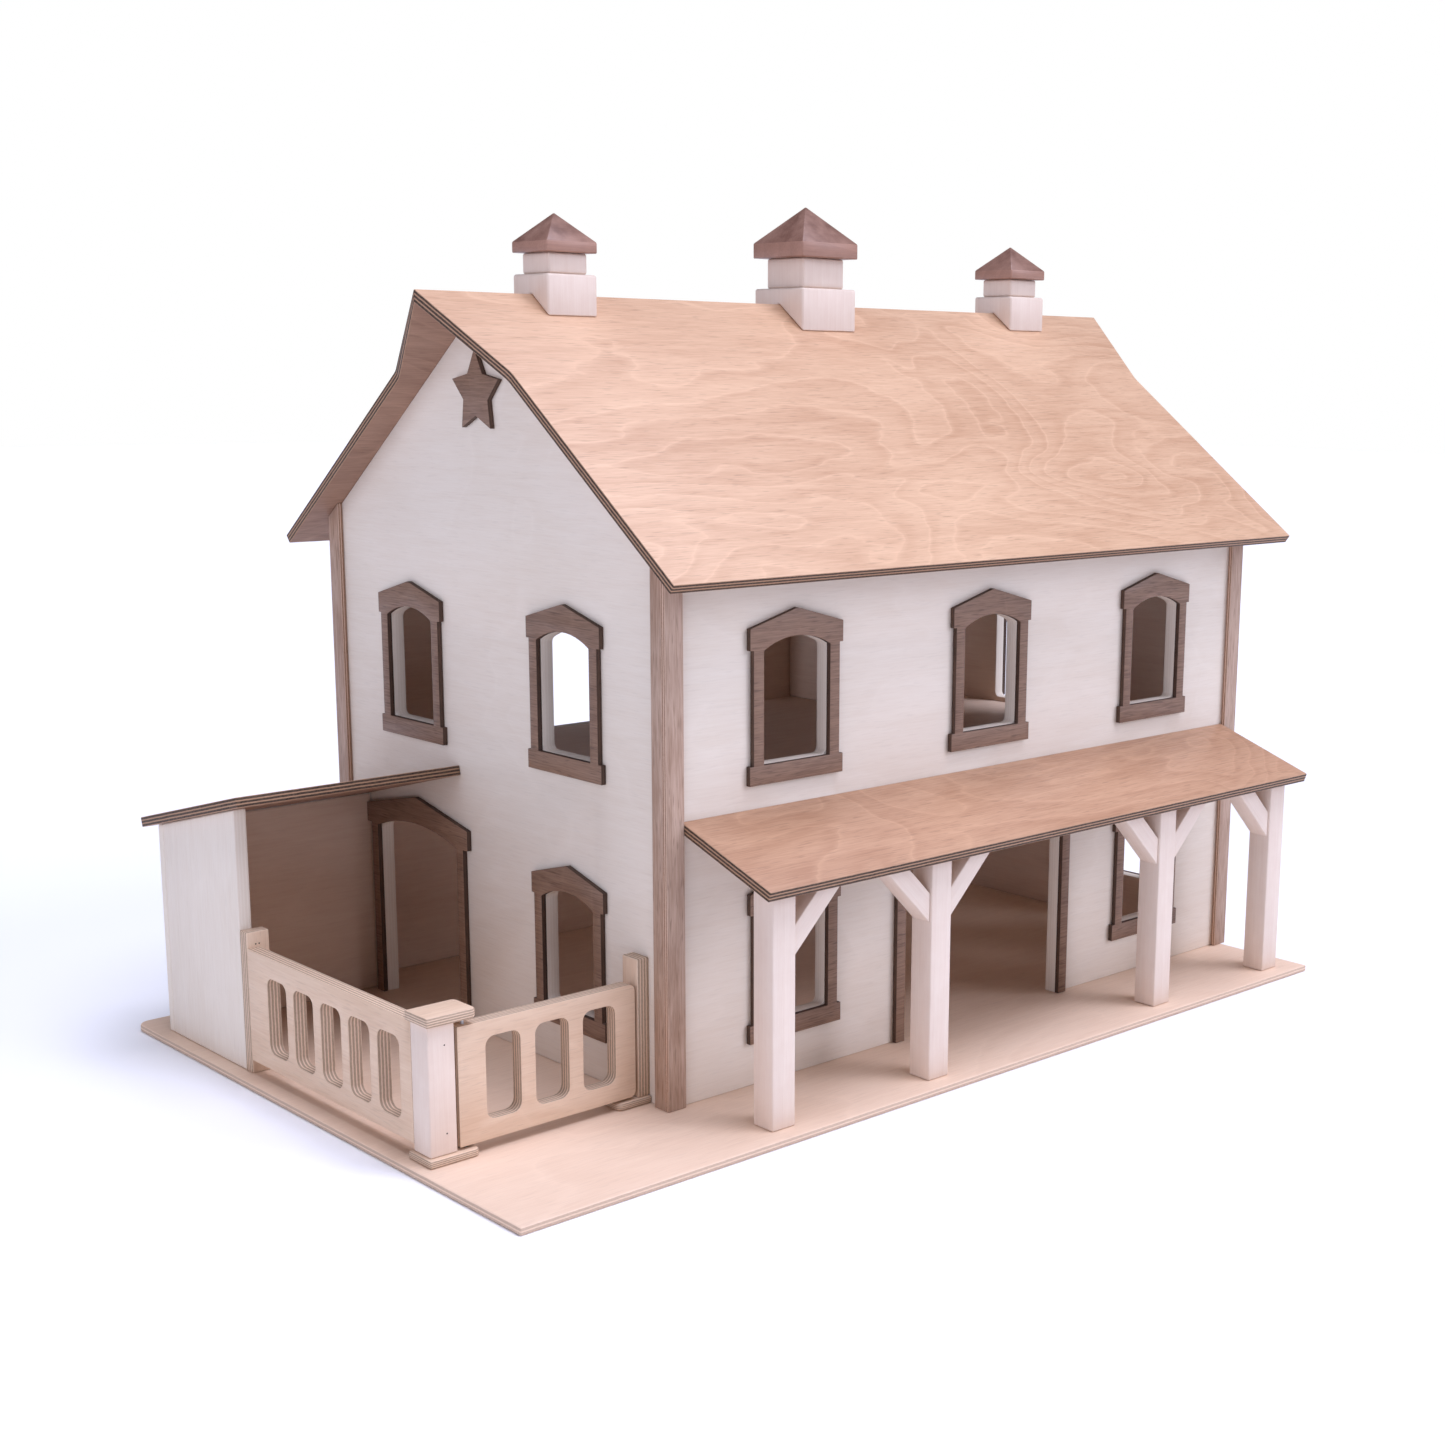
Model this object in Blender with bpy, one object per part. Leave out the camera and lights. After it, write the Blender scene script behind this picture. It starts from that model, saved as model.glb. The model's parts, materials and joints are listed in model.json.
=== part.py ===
"""Wooden dollhouse: a two-storey house under a gable roof with three cupolas, a front porch,
a lean-to shed and a fenced yard with a swinging gate. Metres, +Z up, the front faces -Y.

Sizes are in the house frame: x runs along the front from the left gable, y to the back from the
front wall's trim, z up from the top of the base board. place() moves them to the part's own
frame, whose origin is the centre of the bottom of the part's bounding box.
"""

import math

import bmesh
import bpy
from mathutils import Vector
from mathutils.geometry import tessellate_polygon

FIT = 0.0003  # clearance between pieces that touch
EDGE = 0.0008  # eased edge of solid-wood pieces
EASED_ANGLE = math.radians(30)

# House body, over the corner strips
HOUSE_LENGTH = 0.762
HOUSE_DEPTH = 0.516
WALL_T = 0.012
TRIM_T = 0.005
BASE_T = 0.0064
FLOOR_T = 0.009
CORNER_STRIP_W = 0.0185
KNEE_WALL = 0.2316  # from the upper floor to the roof's underside at the outer trim face

# Roof
ROOF_T = 0.009
ROOF_PITCH = 0.7484  # rise over run
EAVE_OUT = 0.0409
RAKE_OUT = 0.023  # past the gable at the eaves
PEAK_OUT = 0.0566  # past the gable at the ridge
FLARE_FROM_RIDGE = 0.0892  # where the ends start to flare out, measured across the house
FLARE_RADIUS = 0.03

# Cupolas: width of base, neck and cap, then the heights above the ridge
CUPOLA_END_INSET = 0.0855
MIDDLE_CUPOLA = (0.070, 0.053, 0.072, 0.0148, 0.0436, 0.0575, 0.0925)
SIDE_CUPOLA = (0.0525, 0.0405, 0.053, 0.0168, 0.0351, 0.0443, 0.0695)
CUPOLA_EDGE = 0.0018

# Windows: every one alike, z from the bottom of the sill
WINDOW_W = 0.0743
WINDOW_SILL_H = 0.0164
WINDOW_SPRING = 0.112
WINDOW_RISE = 0.010
JAMB_W = 0.01105
SILL_EAR = 0.0043  # past the jamb
HEAD_EAR = 0.0038
HEAD_OVER_SPRING = 0.0008
HEAD_END_H = 0.0182
HEAD_APEX_H = 0.0325
REVEAL_RADIUS = 0.0055
LOWER_SILL_Z = 0.0383
SILL_ABOVE_FLOOR = 0.0356

# Doors
DOOR_SPRING = 0.168
DOOR_HEAD_EAR = 0.0075
DOOR_HEAD_END_H = 0.0185
DOOR_HEAD_APEX_H = 0.0367
DOOR_RISE = 0.012
SIDE_DOOR_W = 0.137
FRONT_DOOR_W = 0.2147
FRONT_DOOR_RISE = 0.016
FRONT_DOOR_APEX_H = 0.0405
LOFT_DOOR_STEP = 0.0052  # above the upper floor

# Back wall and the room divider upstairs
PARTITION_T = 0.009
PARTITION_FROM_RIGHT = 0.180
PARTITION_DEPTH = 0.174  # out from the back wall
BACK_PIER = 0.120  # closed wall at the left end
BACK_STILE_LEFT = 0.062  # closed wall on each side of the divider
BACK_STILE_RIGHT = 0.015
BACK_RIGHT_PIER = 0.062
BACK_UPPER_LINTEL = 0.034  # left under the roof
BACK_LOWER_LEFT = 0.330
BACK_LOWER_LINTEL = 0.012
BACK_RADIUS = 0.008

# Star on the left gable
STAR_R = 0.037
STAR_INNER_R = 0.0195
STAR_BELOW_RIDGE = 0.0728

# Porch
PORCH_DEPTH = 0.105
PORCH_PITCH = 0.3418
PORCH_ROOF_T = 0.009
PORCH_OVER_DOOR = 0.0316  # top of the porch roof above the front door's apex, at the wall
PORCH_BELOW_SILL = 0.0218
PORCH_POST = 0.024
PORCH_POST_INSET = 0.015  # behind the roof's front edge
PORCH_END_INSET = 0.0465
PORCH_END_BAY = 0.179
BRACE_W = 0.018
BRACE_T = 0.020
BRACE_DROP = 0.058  # from the roof's underside to the foot of the brace, at the post's front

# Shed
SHED_ROOF_T = 0.009
SHED_PITCH = 0.257
SHED_DEPTH = 0.138
SHED_OVER_DOOR = 0.0411
SHED_FRONT_OVERHANG = 0.020
SHED_REAR_OVERHANG = 0.0195
SHED_STRIP_CLEAR = 0.0039  # from the roof's rear edge to the rear corner strip
SHED_SIDE_OVERHANG = 0.007
SHED_BACK_T = 0.009

# Yard fence
YARD_WIDTH = 0.206  # from the house to the outer face of the railing
RAIL_T = 0.012
RAIL_BOTTOM = 0.0125
RAIL_TOP = 0.112
RAIL_SLOTS = 5
RAIL_FRONT_STILE = 0.0168
RAIL_REAR_STILE = 0.0327
RAIL_BALUSTER = 0.0118  # between two slots
SLOT_RADIUS = 0.008
MOST_ROUND = 0.45  # of a slot's width, for its corners
RAIL_BAR = 0.0145  # below the slots
RAIL_HEAD = 0.018  # above the slots
FENCE_POST = 0.024
POST_FRONT_Y = 0.031
RAIL_POST_W = 0.021
RAIL_POST_T = 0.012
RAIL_POST_TOP = 0.1257
PAD_T = 0.0064  # foot plates
CAP_T = 0.008
PAD_MARGIN = 0.0031
PAD_REACH = 0.0176  # of the corner post's plates over the pivot
PAD_FRONT = 0.005
PAD_RADIUS = 0.005
BASE_MARGIN = 0.0134
BASE_FRONT_MARGIN = 0.0026
BASE_RADIUS = 0.012

# Gate
GATE_T = 0.012
GATE_CLEAR = 0.0026  # above the foot plates and below the cap
GATE_TOP_CLEAR = 0.006
PIVOT_IN = 0.008  # from the gate's hinge end to its axis
SWING_CLEAR = 0.0006
LATCH_GAP = 0.003
GATE_SLOTS = 3
GATE_HINGE_STILE = 0.0248
GATE_FREE_STILE = 0.0199
GATE_BALUSTER = 0.0136
GATE_BAR = 0.016
GATE_HEAD = 0.0133
GATE_RADIUS = 0.006
PIN_R = 0.0015
PIN_END = 0.0012  # stops short of the foot plate's underside
PIN_IN_CAP = 0.005
LATCH_POST_W = 0.012
LATCH_POST_D = 0.0205
LATCH_PAD_REACH = 0.022
LATCH_PAD_FRONT = 0.0025
LATCH_PAD_BACK = 0.0035

# Colours: linear RGB, roughness
BIRCH = ((0.78, 0.66, 0.52), 0.62)
BARE_WOOD = ((0.76, 0.58, 0.44), 0.60)
ROOF_STAIN = ((0.50, 0.27, 0.13), 0.52)
TRIM_STAIN = ((0.22, 0.10, 0.05), 0.55)
STEEL = ((0.55, 0.55, 0.55), 0.35)

# What follows from the sizes above
ROOF_COS = 1 / math.hypot(1, ROOF_PITCH)
WALL_LEFT = TRIM_T
WALL_RIGHT = HOUSE_LENGTH - TRIM_T
BACK_FACE = HOUSE_DEPTH - WALL_T
MID_X = HOUSE_LENGTH / 2
MID_Y = HOUSE_DEPTH / 2
FRONT_DOOR_OUTER = FRONT_DOOR_W / 2 + JAMB_W
SIDE_DOOR_OUTER = SIDE_DOOR_W / 2 + JAMB_W
FRONT_DOOR_APEX = DOOR_SPRING + FRONT_DOOR_APEX_H
PORCH_TOP = FRONT_DOOR_APEX + PORCH_OVER_DOOR
UPPER_SILL_Z = PORCH_TOP + PORCH_BELOW_SILL
FLOOR_TOP = UPPER_SILL_Z - SILL_ABOVE_FLOOR
WALL_TOP = FLOOR_TOP + KNEE_WALL
ROOF_LIFT = FIT / ROOF_COS + ROOF_T / ROOF_COS
RIDGE_TOP = WALL_TOP + MID_Y * ROOF_PITCH + ROOF_LIFT
FRONT_WINDOW_X = (CORNER_STRIP_W + MID_X - FRONT_DOOR_OUTER) / 2
GABLE_WINDOW_Y = (CORNER_STRIP_W + MID_Y) / 2
SHED_BACK_END_Y = HOUSE_DEPTH - CORNER_STRIP_W - SHED_STRIP_CLEAR - SHED_REAR_OVERHANG
SHED_BACK_Y = SHED_BACK_END_Y - SHED_BACK_T
SIDE_DOOR_Y = SHED_BACK_Y - FIT - DOOR_HEAD_EAR - SIDE_DOOR_OUTER
SHED_FRONT_Y = SHED_BACK_Y - SHED_DEPTH
SHED_ROOF_FRONT_Y = SHED_FRONT_Y - SHED_FRONT_OVERHANG
SHED_ROOF_TOP = DOOR_SPRING + DOOR_HEAD_APEX_H + SHED_OVER_DOOR
POST_LEFT = -YARD_WIDTH
POST_RIGHT = POST_LEFT + FENCE_POST
GATE_LEFT = POST_RIGHT + math.hypot(PIVOT_IN, GATE_T / 2) - PIVOT_IN + SWING_CLEAR
GATE_RIGHT = TRIM_T - LATCH_POST_W - LATCH_GAP
GATE_BOTTOM = PAD_T + GATE_CLEAR
GATE_TOP = RAIL_TOP - GATE_TOP_CLEAR
PIVOT = (GATE_LEFT + PIVOT_IN, POST_FRONT_Y + GATE_T / 2)
BASE_LEFT = -YARD_WIDTH - BASE_MARGIN
BASE_FRONT = -PORCH_DEPTH - BASE_FRONT_MARGIN
EAVE_EDGE_OUT = EAVE_OUT + ROOF_T * ROOF_PITCH * ROOF_COS
ORIGIN = ((BASE_LEFT + HOUSE_LENGTH + PEAK_OUT) / 2, (BASE_FRONT + HOUSE_DEPTH + EAVE_OUT) / 2)


def place(x, y, z):
    """A point of the house frame, in the part's own frame."""
    return Vector((x - ORIGIN[0], y - ORIGIN[1], z + BASE_T))


def wood(name, look, metallic=0.0):
    """A Principled material of one colour and roughness."""
    colour, roughness = look
    material = bpy.data.materials.new(name)
    material.use_nodes = True
    shader = material.node_tree.nodes["Principled BSDF"]
    shader.inputs["Base Color"].default_value = (*colour, 1.0)
    shader.inputs["Roughness"].default_value = roughness
    shader.inputs["Metallic"].default_value = metallic
    material.diffuse_color = (*colour, 1.0)
    return material


def solid(name, look, at, near, far, metallic=0.0):
    """A closed solid between two faces that match point for point, each an outline and its holes."""
    work = bmesh.new()
    rings = [[work.verts.new(point) for loop in face for point in loop] for face in (near, far)]
    if len(near) == 1:
        caps = [range(len(near[0]))]
    else:
        caps = tessellate_polygon([[Vector(point) for point in loop] for loop in near])
    for cap in caps:
        for ring in rings:
            work.faces.new([ring[index] for index in cap])
    start = 0
    for loop in near:
        for step in range(len(loop)):
            a = start + step
            b = start + (step + 1) % len(loop)
            work.faces.new((rings[0][a], rings[0][b], rings[1][b], rings[1][a]))
        start += len(loop)
    bmesh.ops.recalc_face_normals(work, faces=work.faces)
    mesh = bpy.data.meshes.new(name)
    work.to_mesh(mesh)
    work.free()
    mesh.materials.append(wood(name + "_finish", look, metallic))
    piece = bpy.data.objects.new(name, mesh)
    piece.location = at
    bpy.context.collection.objects.link(piece)
    return piece


LIFT = {
    "XY": lambda u, v, w: (u, v, w),
    "XZ": lambda u, v, w: (u, w, v),
    "YZ": lambda u, v, w: (w, u, v),
}


def board(name, look, plane, outline, thickness, at, holes=()):
    """A flat board: an outline in a plane, made thick along the third axis."""
    lift = LIFT[plane]
    faces = [
        [[lift(u, v, w) for u, v in loop] for loop in (outline, *holes)] for w in (0, thickness)
    ]
    return solid(name, look, at, *faces)


def rectangle(left, bottom, right, top):
    return [(left, bottom), (right, bottom), (right, top), (left, top)]


def rounded(points, radii, steps=4):
    """The outline with some corners rounded: radii maps a point's index to its radius."""
    result = []
    for index, point in enumerate(points):
        radius = radii.get(index, 0)
        if not radius:
            result.append(tuple(point))
            continue
        corner = Vector(point)
        before = (Vector(points[index - 1]) - corner).normalized()
        after = (Vector(points[(index + 1) % len(points)]) - corner).normalized()
        half = before.angle(after) / 2
        centre = corner + (before + after).normalized() * radius / math.sin(half)
        start = corner + before * radius / math.tan(half) - centre
        end = corner + after * radius / math.tan(half) - centre
        turn = start.angle_signed(end)
        for step in range(steps + 1):
            angle = -turn * step / steps
            result.append(
                (
                    centre.x + start.x * math.cos(angle) - start.y * math.sin(angle),
                    centre.y + start.x * math.sin(angle) + start.y * math.cos(angle),
                )
            )
    return result


def arch(centre, half, spring, rise, steps=12):
    """The arc over an opening, from its right springing point to its left one."""
    radius = (half**2 + rise**2) / (2 * rise)
    reach = math.asin(half / radius)
    middle = spring + rise - radius
    angles = [reach - 2 * reach * step / steps for step in range(steps + 1)]
    return [(centre + radius * math.sin(a), middle + radius * math.cos(a)) for a in angles]


def arched_hole(centre, half, bottom, spring, rise, radius=0.0):
    """A closed arched opening, its four corners rounded by the radius."""
    points = [(centre - half, bottom), (centre + half, bottom)]
    points += arch(centre, half, spring, rise)
    return rounded(points, dict.fromkeys((0, 1, 2, len(points) - 1), radius))


def arched_notch(centre, half, bottom, spring, rise, radius=0.0):
    """A doorway cut up from the lower edge, as outline points from left to right."""
    points = arch(centre, half, spring, rise)[::-1]
    points = [(centre - half, bottom), *points, (centre + half, bottom)]
    return rounded(points, {1: radius, len(points) - 2: radius})


def window_hole(centre, sill):
    """The cut in a wall behind a window trim."""
    bottom = sill + WINDOW_SILL_H
    return arched_hole(
        centre, WINDOW_W / 2, bottom, sill + WINDOW_SPRING, WINDOW_RISE, REVEAL_RADIUS
    )


def star_outline():
    angles = [math.pi * step / 5 for step in range(10)]
    radii = [STAR_R, STAR_INNER_R] * 5
    return [(r * math.sin(a), r * math.cos(a)) for a, r in zip(angles, radii)]


def head_outline(half, ear, foot, spring, end_h, apex_h):
    """The right-to-left outline of a trim's pitched head, from the outer face of one jamb to the other."""
    shoulder = spring + HEAD_OVER_SPRING
    return [
        (half, foot),
        (half, shoulder),
        (half + ear, shoulder),
        (half + ear, shoulder + end_h),
        (0, shoulder + apex_h),
        (-half - ear, shoulder + end_h),
        (-half - ear, shoulder),
        (-half, shoulder),
        (-half, foot),
    ]


def window_trim(name, plane, at):
    """One flat piece: sill, two jambs and a pitched head round an arched opening."""
    half = WINDOW_W / 2 + JAMB_W
    head = head_outline(half, HEAD_EAR, WINDOW_SILL_H, WINDOW_SPRING, HEAD_END_H, HEAD_APEX_H)
    ear = half + SILL_EAR
    outline = [(-ear, WINDOW_SILL_H), (-ear, 0), (ear, 0), (ear, WINDOW_SILL_H), *head]
    hole = arched_hole(0, WINDOW_W / 2, WINDOW_SILL_H, WINDOW_SPRING, WINDOW_RISE)
    return board(name, TRIM_STAIN, plane, outline, TRIM_T - FIT, at, [hole])


def door_trim(name, plane, at, width, spring, rise, apex_h):
    """One flat piece: two jambs and a pitched head over an arched doorway."""
    half = width / 2 + JAMB_W
    head = head_outline(half, DOOR_HEAD_EAR, 0, spring, DOOR_HEAD_END_H, apex_h)
    outline = head + arched_notch(0, width / 2, 0, spring, rise)
    return board(name, TRIM_STAIN, plane, outline, TRIM_T - FIT, at)


def roof_under(y):
    """Height of the walls' tops under the main roof."""
    return WALL_TOP + min(y, HOUSE_DEPTH - y) * ROOF_PITCH


def porch_under(y):
    """Height that the porch's posts and braces reach, a clearance under its roof."""
    slant = math.hypot(1, PORCH_PITCH)
    return PORCH_TOP + y * PORCH_PITCH - (PORCH_ROOF_T + FIT) * slant


def shed_under(y):
    """Height that the shed's walls reach, a clearance under its roof."""
    slant = math.hypot(1, SHED_PITCH)
    return SHED_ROOF_TOP - (y - SHED_ROOF_FRONT_Y) * SHED_PITCH - (SHED_ROOF_T + FIT) * slant


def ease(piece, width=EDGE):
    """Eases the outer edges of a solid-wood piece, and leaves its inner corners sharp."""
    work = bmesh.new()
    work.from_mesh(piece.data)
    weight = work.edges.layers.float.new("bevel_weight_edge")
    for edge in work.edges:
        edge[weight] = float(edge.is_convex and edge.calc_face_angle() > EASED_ANGLE)
    work.to_mesh(piece.data)
    work.free()
    bevel = piece.modifiers.new("eased edges", "BEVEL")
    bevel.width = width
    bevel.segments = 2
    bevel.limit_method = "WEIGHT"
    return piece


def drill(piece, cutter):
    """Cuts the gate's pivot bore from a piece."""
    bore = piece.modifiers.new("pivot bore", "BOOLEAN")
    bore.operation = "DIFFERENCE"
    bore.object = cutter
    bore.solver = "EXACT"


def slotted(length, bottom, top, count, stiles, baluster, bar, head, radius):
    """A rail's outline and its row of round-cornered slots, from x 0 to its length."""
    outline = rectangle(0, bottom, length, top)
    width = (length - sum(stiles) - (count - 1) * baluster) / count
    corner = min(SLOT_RADIUS, MOST_ROUND * width)
    slots = []
    for index in range(count):
        left = stiles[0] + (width + baluster) * index
        hole = rectangle(left, bottom + bar, left + width, top - head)
        slots.append(rounded(hole, dict.fromkeys(range(4), corner)))
    return rounded(outline, {1: radius, 2: radius}), slots


def base_board():
    outline = rectangle(BASE_LEFT, BASE_FRONT, WALL_RIGHT, HOUSE_DEPTH)
    outline = rounded(outline, {3: BASE_RADIUS}, steps=8)
    board("base_board", BARE_WOOD, "XY", outline, BASE_T, place(0, 0, -BASE_T))


def front_wall():
    door = arched_notch(
        MID_X, FRONT_DOOR_W / 2, FIT, DOOR_SPRING, FRONT_DOOR_RISE, REVEAL_RADIUS
    )
    outline = [(WALL_LEFT, FIT), *door, (WALL_RIGHT, FIT)]
    outline += [(WALL_RIGHT, roof_under(TRIM_T)), (WALL_LEFT, roof_under(TRIM_T))]
    ends = (FRONT_WINDOW_X, HOUSE_LENGTH - FRONT_WINDOW_X)
    holes = [window_hole(x, UPPER_SILL_Z) for x in (ends[0], MID_X, ends[1])]
    holes += [window_hole(x, LOWER_SILL_Z) for x in ends]
    board("front_wall", BIRCH, "XZ", outline, WALL_T, place(0, TRIM_T, 0), holes)


def back_wall():
    """Closed at its ends and beside the room divider, open between for reaching in."""
    divider = HOUSE_LENGTH - PARTITION_FROM_RIGHT
    right = WALL_RIGHT - BACK_RIGHT_PIER + TRIM_T
    lintel = FLOOR_TOP - FLOOR_T - BACK_LOWER_LINTEL
    access = [(BACK_LOWER_LEFT, FIT), (BACK_LOWER_LEFT, lintel), (right, lintel), (right, FIT)]
    access = rounded(access, {1: BACK_RADIUS, 2: BACK_RADIUS})
    top = roof_under(HOUSE_DEPTH)
    outline = [(WALL_LEFT, FIT), *access, (WALL_RIGHT, FIT), (WALL_RIGHT, top), (WALL_LEFT, top)]
    spans = (
        (BACK_PIER, divider - BACK_STILE_LEFT),
        (divider + PARTITION_T + BACK_STILE_RIGHT, right),
    )
    holes = []
    for left_edge, right_edge in spans:
        hole = rectangle(left_edge, FLOOR_TOP, right_edge, top - BACK_UPPER_LINTEL)
        holes.append(rounded(hole, dict.fromkeys(range(4), BACK_RADIUS)))
    board("back_wall", BIRCH, "XZ", outline, WALL_T, place(0, BACK_FACE, 0), holes)


def gable_outline(doorway=()):
    """A gable wall between the front and back walls, with its doorway if it has one."""
    front = TRIM_T + WALL_T + FIT
    back = BACK_FACE - FIT
    tops = [(back, roof_under(back)), (MID_Y, roof_under(MID_Y)), (front, roof_under(front))]
    return [(front, FIT), *doorway, (back, FIT), *tops]


def left_gable_wall():
    door = arched_notch(
        SIDE_DOOR_Y, SIDE_DOOR_W / 2, FIT, DOOR_SPRING, DOOR_RISE, REVEAL_RADIUS
    )
    holes = [window_hole(y, UPPER_SILL_Z) for y in (GABLE_WINDOW_Y, SIDE_DOOR_Y)]
    holes.append(window_hole(GABLE_WINDOW_Y, LOWER_SILL_Z))
    at = place(WALL_LEFT, 0, 0)
    board("left_gable_wall", BIRCH, "YZ", gable_outline(door), WALL_T, at, holes)


def right_gable_wall():
    step = FLOOR_TOP + LOFT_DOOR_STEP
    spring = step + DOOR_SPRING
    door = arched_hole(MID_Y, SIDE_DOOR_W / 2, step, spring, DOOR_RISE, REVEAL_RADIUS)
    holes = [window_hole(GABLE_WINDOW_Y, LOWER_SILL_Z), door]
    at = place(WALL_RIGHT - WALL_T, 0, 0)
    board("right_gable_wall", BIRCH, "YZ", gable_outline(), WALL_T, at, holes)


def upper_floor():
    inset = WALL_T + TRIM_T + FIT
    outline = rectangle(inset, inset, HOUSE_LENGTH - inset, BACK_FACE - FIT)
    board("upper_floor", BIRCH, "XY", outline, FLOOR_T, place(0, 0, FLOOR_TOP - FLOOR_T))


def loft_partition():
    """Divides the upper floor behind the middle windows, up to the roof."""
    back = BACK_FACE - FIT
    front = back - PARTITION_DEPTH
    foot = FLOOR_TOP + FIT
    ridge = [(MID_Y, roof_under(MID_Y))] if front < MID_Y else []
    outline = [(front, foot), (back, foot), (back, roof_under(back))]
    outline += [*ridge, (front, roof_under(front))]
    at = place(HOUSE_LENGTH - PARTITION_FROM_RIGHT, 0, 0)
    board("loft_partition", BIRCH, "YZ", outline, PARTITION_T, at)


def roof_panel(name, turn, side):
    """A roof slope: its ridge edge is cut plumb, its ends flare out towards the ridge."""
    eave = (MID_Y + EAVE_OUT) / ROOF_COS
    flare = FLARE_FROM_RIDGE / ROOF_COS
    half = HOUSE_LENGTH / 2
    corners = [
        (-half - PEAK_OUT, 0),
        (-half - RAKE_OUT, -flare),
        (-half - RAKE_OUT, -eave),
        (half + RAKE_OUT, -eave),
        (half + RAKE_OUT, -flare),
        (half + PEAK_OUT, 0),
    ]
    outline = rounded(corners, {1: FLARE_RADIUS, 4: FLARE_RADIUS})
    plumb = ROOF_T * ROOF_PITCH
    top = [(x, s, 0) for x, s in outline]
    bottom = [(x, s if s < 0 else -plumb, -ROOF_T) for x, s in outline]
    at = place(MID_X, MID_Y + side * FIT / 2, RIDGE_TOP)
    panel = solid(name, ROOF_STAIN, at, [top], [bottom])
    panel.rotation_euler = (math.atan(ROOF_PITCH), 0, turn)


def cupola(name, x, sizes):
    """A base notched over the ridge, a narrower neck, and a cap with a pyramid top."""
    base_w, neck_w, cap_w, base_top, neck_top, fascia_top, apex = sizes
    half = base_w / 2
    seat = FIT / ROOF_COS
    drop = half * ROOF_PITCH
    section = [
        (-half, base_top),
        (-half, seat - drop),
        (0, seat),
        (half, seat - drop),
        (half, base_top),
    ]
    at = place(x - half, MID_Y, RIDGE_TOP)
    ease(board(name + "_base", BARE_WOOD, "YZ", section, base_w, at), CUPOLA_EDGE)

    half = neck_w / 2
    height = neck_top - base_top - 2 * FIT
    at = place(x, MID_Y, RIDGE_TOP + base_top + FIT)
    square = rectangle(-half, -half, half, half)
    ease(board(name + "_neck", BARE_WOOD, "XY", square, height, at), CUPOLA_EDGE)

    half = cap_w / 2
    at = place(x, MID_Y, RIDGE_TOP + neck_top)
    square = rectangle(-half, -half, half, half)
    cap = board(name + "_cap", TRIM_STAIN, "XY", square, fascia_top - neck_top, at)
    work = bmesh.new()
    work.from_mesh(cap.data)
    work.faces.ensure_lookup_table()
    lid = max(work.faces, key=lambda face: face.calc_center_median().z)
    bmesh.ops.poke(work, faces=[lid])
    tip = max(work.verts, key=lambda vert: (vert.co.z, -vert.co.xy.length))
    tip.co.z = apex - neck_top
    work.to_mesh(cap.data)
    work.free()
    ease(cap)


def corner_strips():
    """Each corner's strips: the front ones cover the corner, the gable ones butt against them."""
    front = [(0, FIT), (TRIM_T - FIT, FIT), (TRIM_T - FIT, roof_under(TRIM_T)), (0, roof_under(0))]
    start = TRIM_T
    gable = [
        (start, FIT),
        (CORNER_STRIP_W, FIT),
        (CORNER_STRIP_W, roof_under(CORNER_STRIP_W)),
        (start, roof_under(start)),
    ]
    rear_start = HOUSE_DEPTH - CORNER_STRIP_W
    rear = [
        (rear_start, FIT),
        (HOUSE_DEPTH, FIT),
        (HOUSE_DEPTH, roof_under(HOUSE_DEPTH)),
        (rear_start, roof_under(rear_start)),
    ]
    strip = TRIM_T - FIT
    for side, edge, face in (
        ("left", 0, 0),
        ("right", HOUSE_LENGTH - CORNER_STRIP_W, HOUSE_LENGTH - strip),
    ):
        at = place(edge, 0, 0)
        board(f"corner_strip_front_{side}", TRIM_STAIN, "YZ", front, CORNER_STRIP_W, at)
        at = place(face, 0, 0)
        board(f"corner_strip_gable_front_{side}", TRIM_STAIN, "YZ", gable, strip, at)
        board(f"corner_strip_gable_rear_{side}", TRIM_STAIN, "YZ", rear, strip, at)


def front_trims():
    ends = (FRONT_WINDOW_X, HOUSE_LENGTH - FRONT_WINDOW_X)
    window_trim("window_trim_front_upper_left", "XZ", place(ends[0], 0, UPPER_SILL_Z))
    window_trim("window_trim_front_upper_middle", "XZ", place(MID_X, 0, UPPER_SILL_Z))
    window_trim("window_trim_front_upper_right", "XZ", place(ends[1], 0, UPPER_SILL_Z))
    window_trim("window_trim_front_lower_left", "XZ", place(ends[0], 0, LOWER_SILL_Z))
    window_trim("window_trim_front_lower_right", "XZ", place(ends[1], 0, LOWER_SILL_Z))
    at = place(MID_X, 0, FIT)
    height = DOOR_SPRING - FIT
    door_trim(
        "door_trim_front", "XZ", at, FRONT_DOOR_W, height, FRONT_DOOR_RISE, FRONT_DOOR_APEX_H
    )


def gable_trims():
    right = HOUSE_LENGTH - TRIM_T + FIT
    window_trim("window_trim_left_upper_front", "YZ", place(0, GABLE_WINDOW_Y, UPPER_SILL_Z))
    window_trim("window_trim_left_upper_rear", "YZ", place(0, SIDE_DOOR_Y, UPPER_SILL_Z))
    window_trim("window_trim_left_lower", "YZ", place(0, GABLE_WINDOW_Y, LOWER_SILL_Z))
    window_trim("window_trim_right_lower", "YZ", place(right, GABLE_WINDOW_Y, LOWER_SILL_Z))
    height = DOOR_SPRING - FIT
    at = place(0, SIDE_DOOR_Y, FIT)
    door_trim("door_trim_left", "YZ", at, SIDE_DOOR_W, height, DOOR_RISE, DOOR_HEAD_APEX_H)
    at = place(right, MID_Y, FLOOR_TOP + LOFT_DOOR_STEP)
    door_trim(
        "loft_door_trim_right", "YZ", at, SIDE_DOOR_W, DOOR_SPRING, DOOR_RISE, DOOR_HEAD_APEX_H
    )
    at = place(0, MID_Y, roof_under(MID_Y) - STAR_BELOW_RIDGE)
    board("gable_star", TRIM_STAIN, "YZ", star_outline(), TRIM_T - FIT, at)


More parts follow.
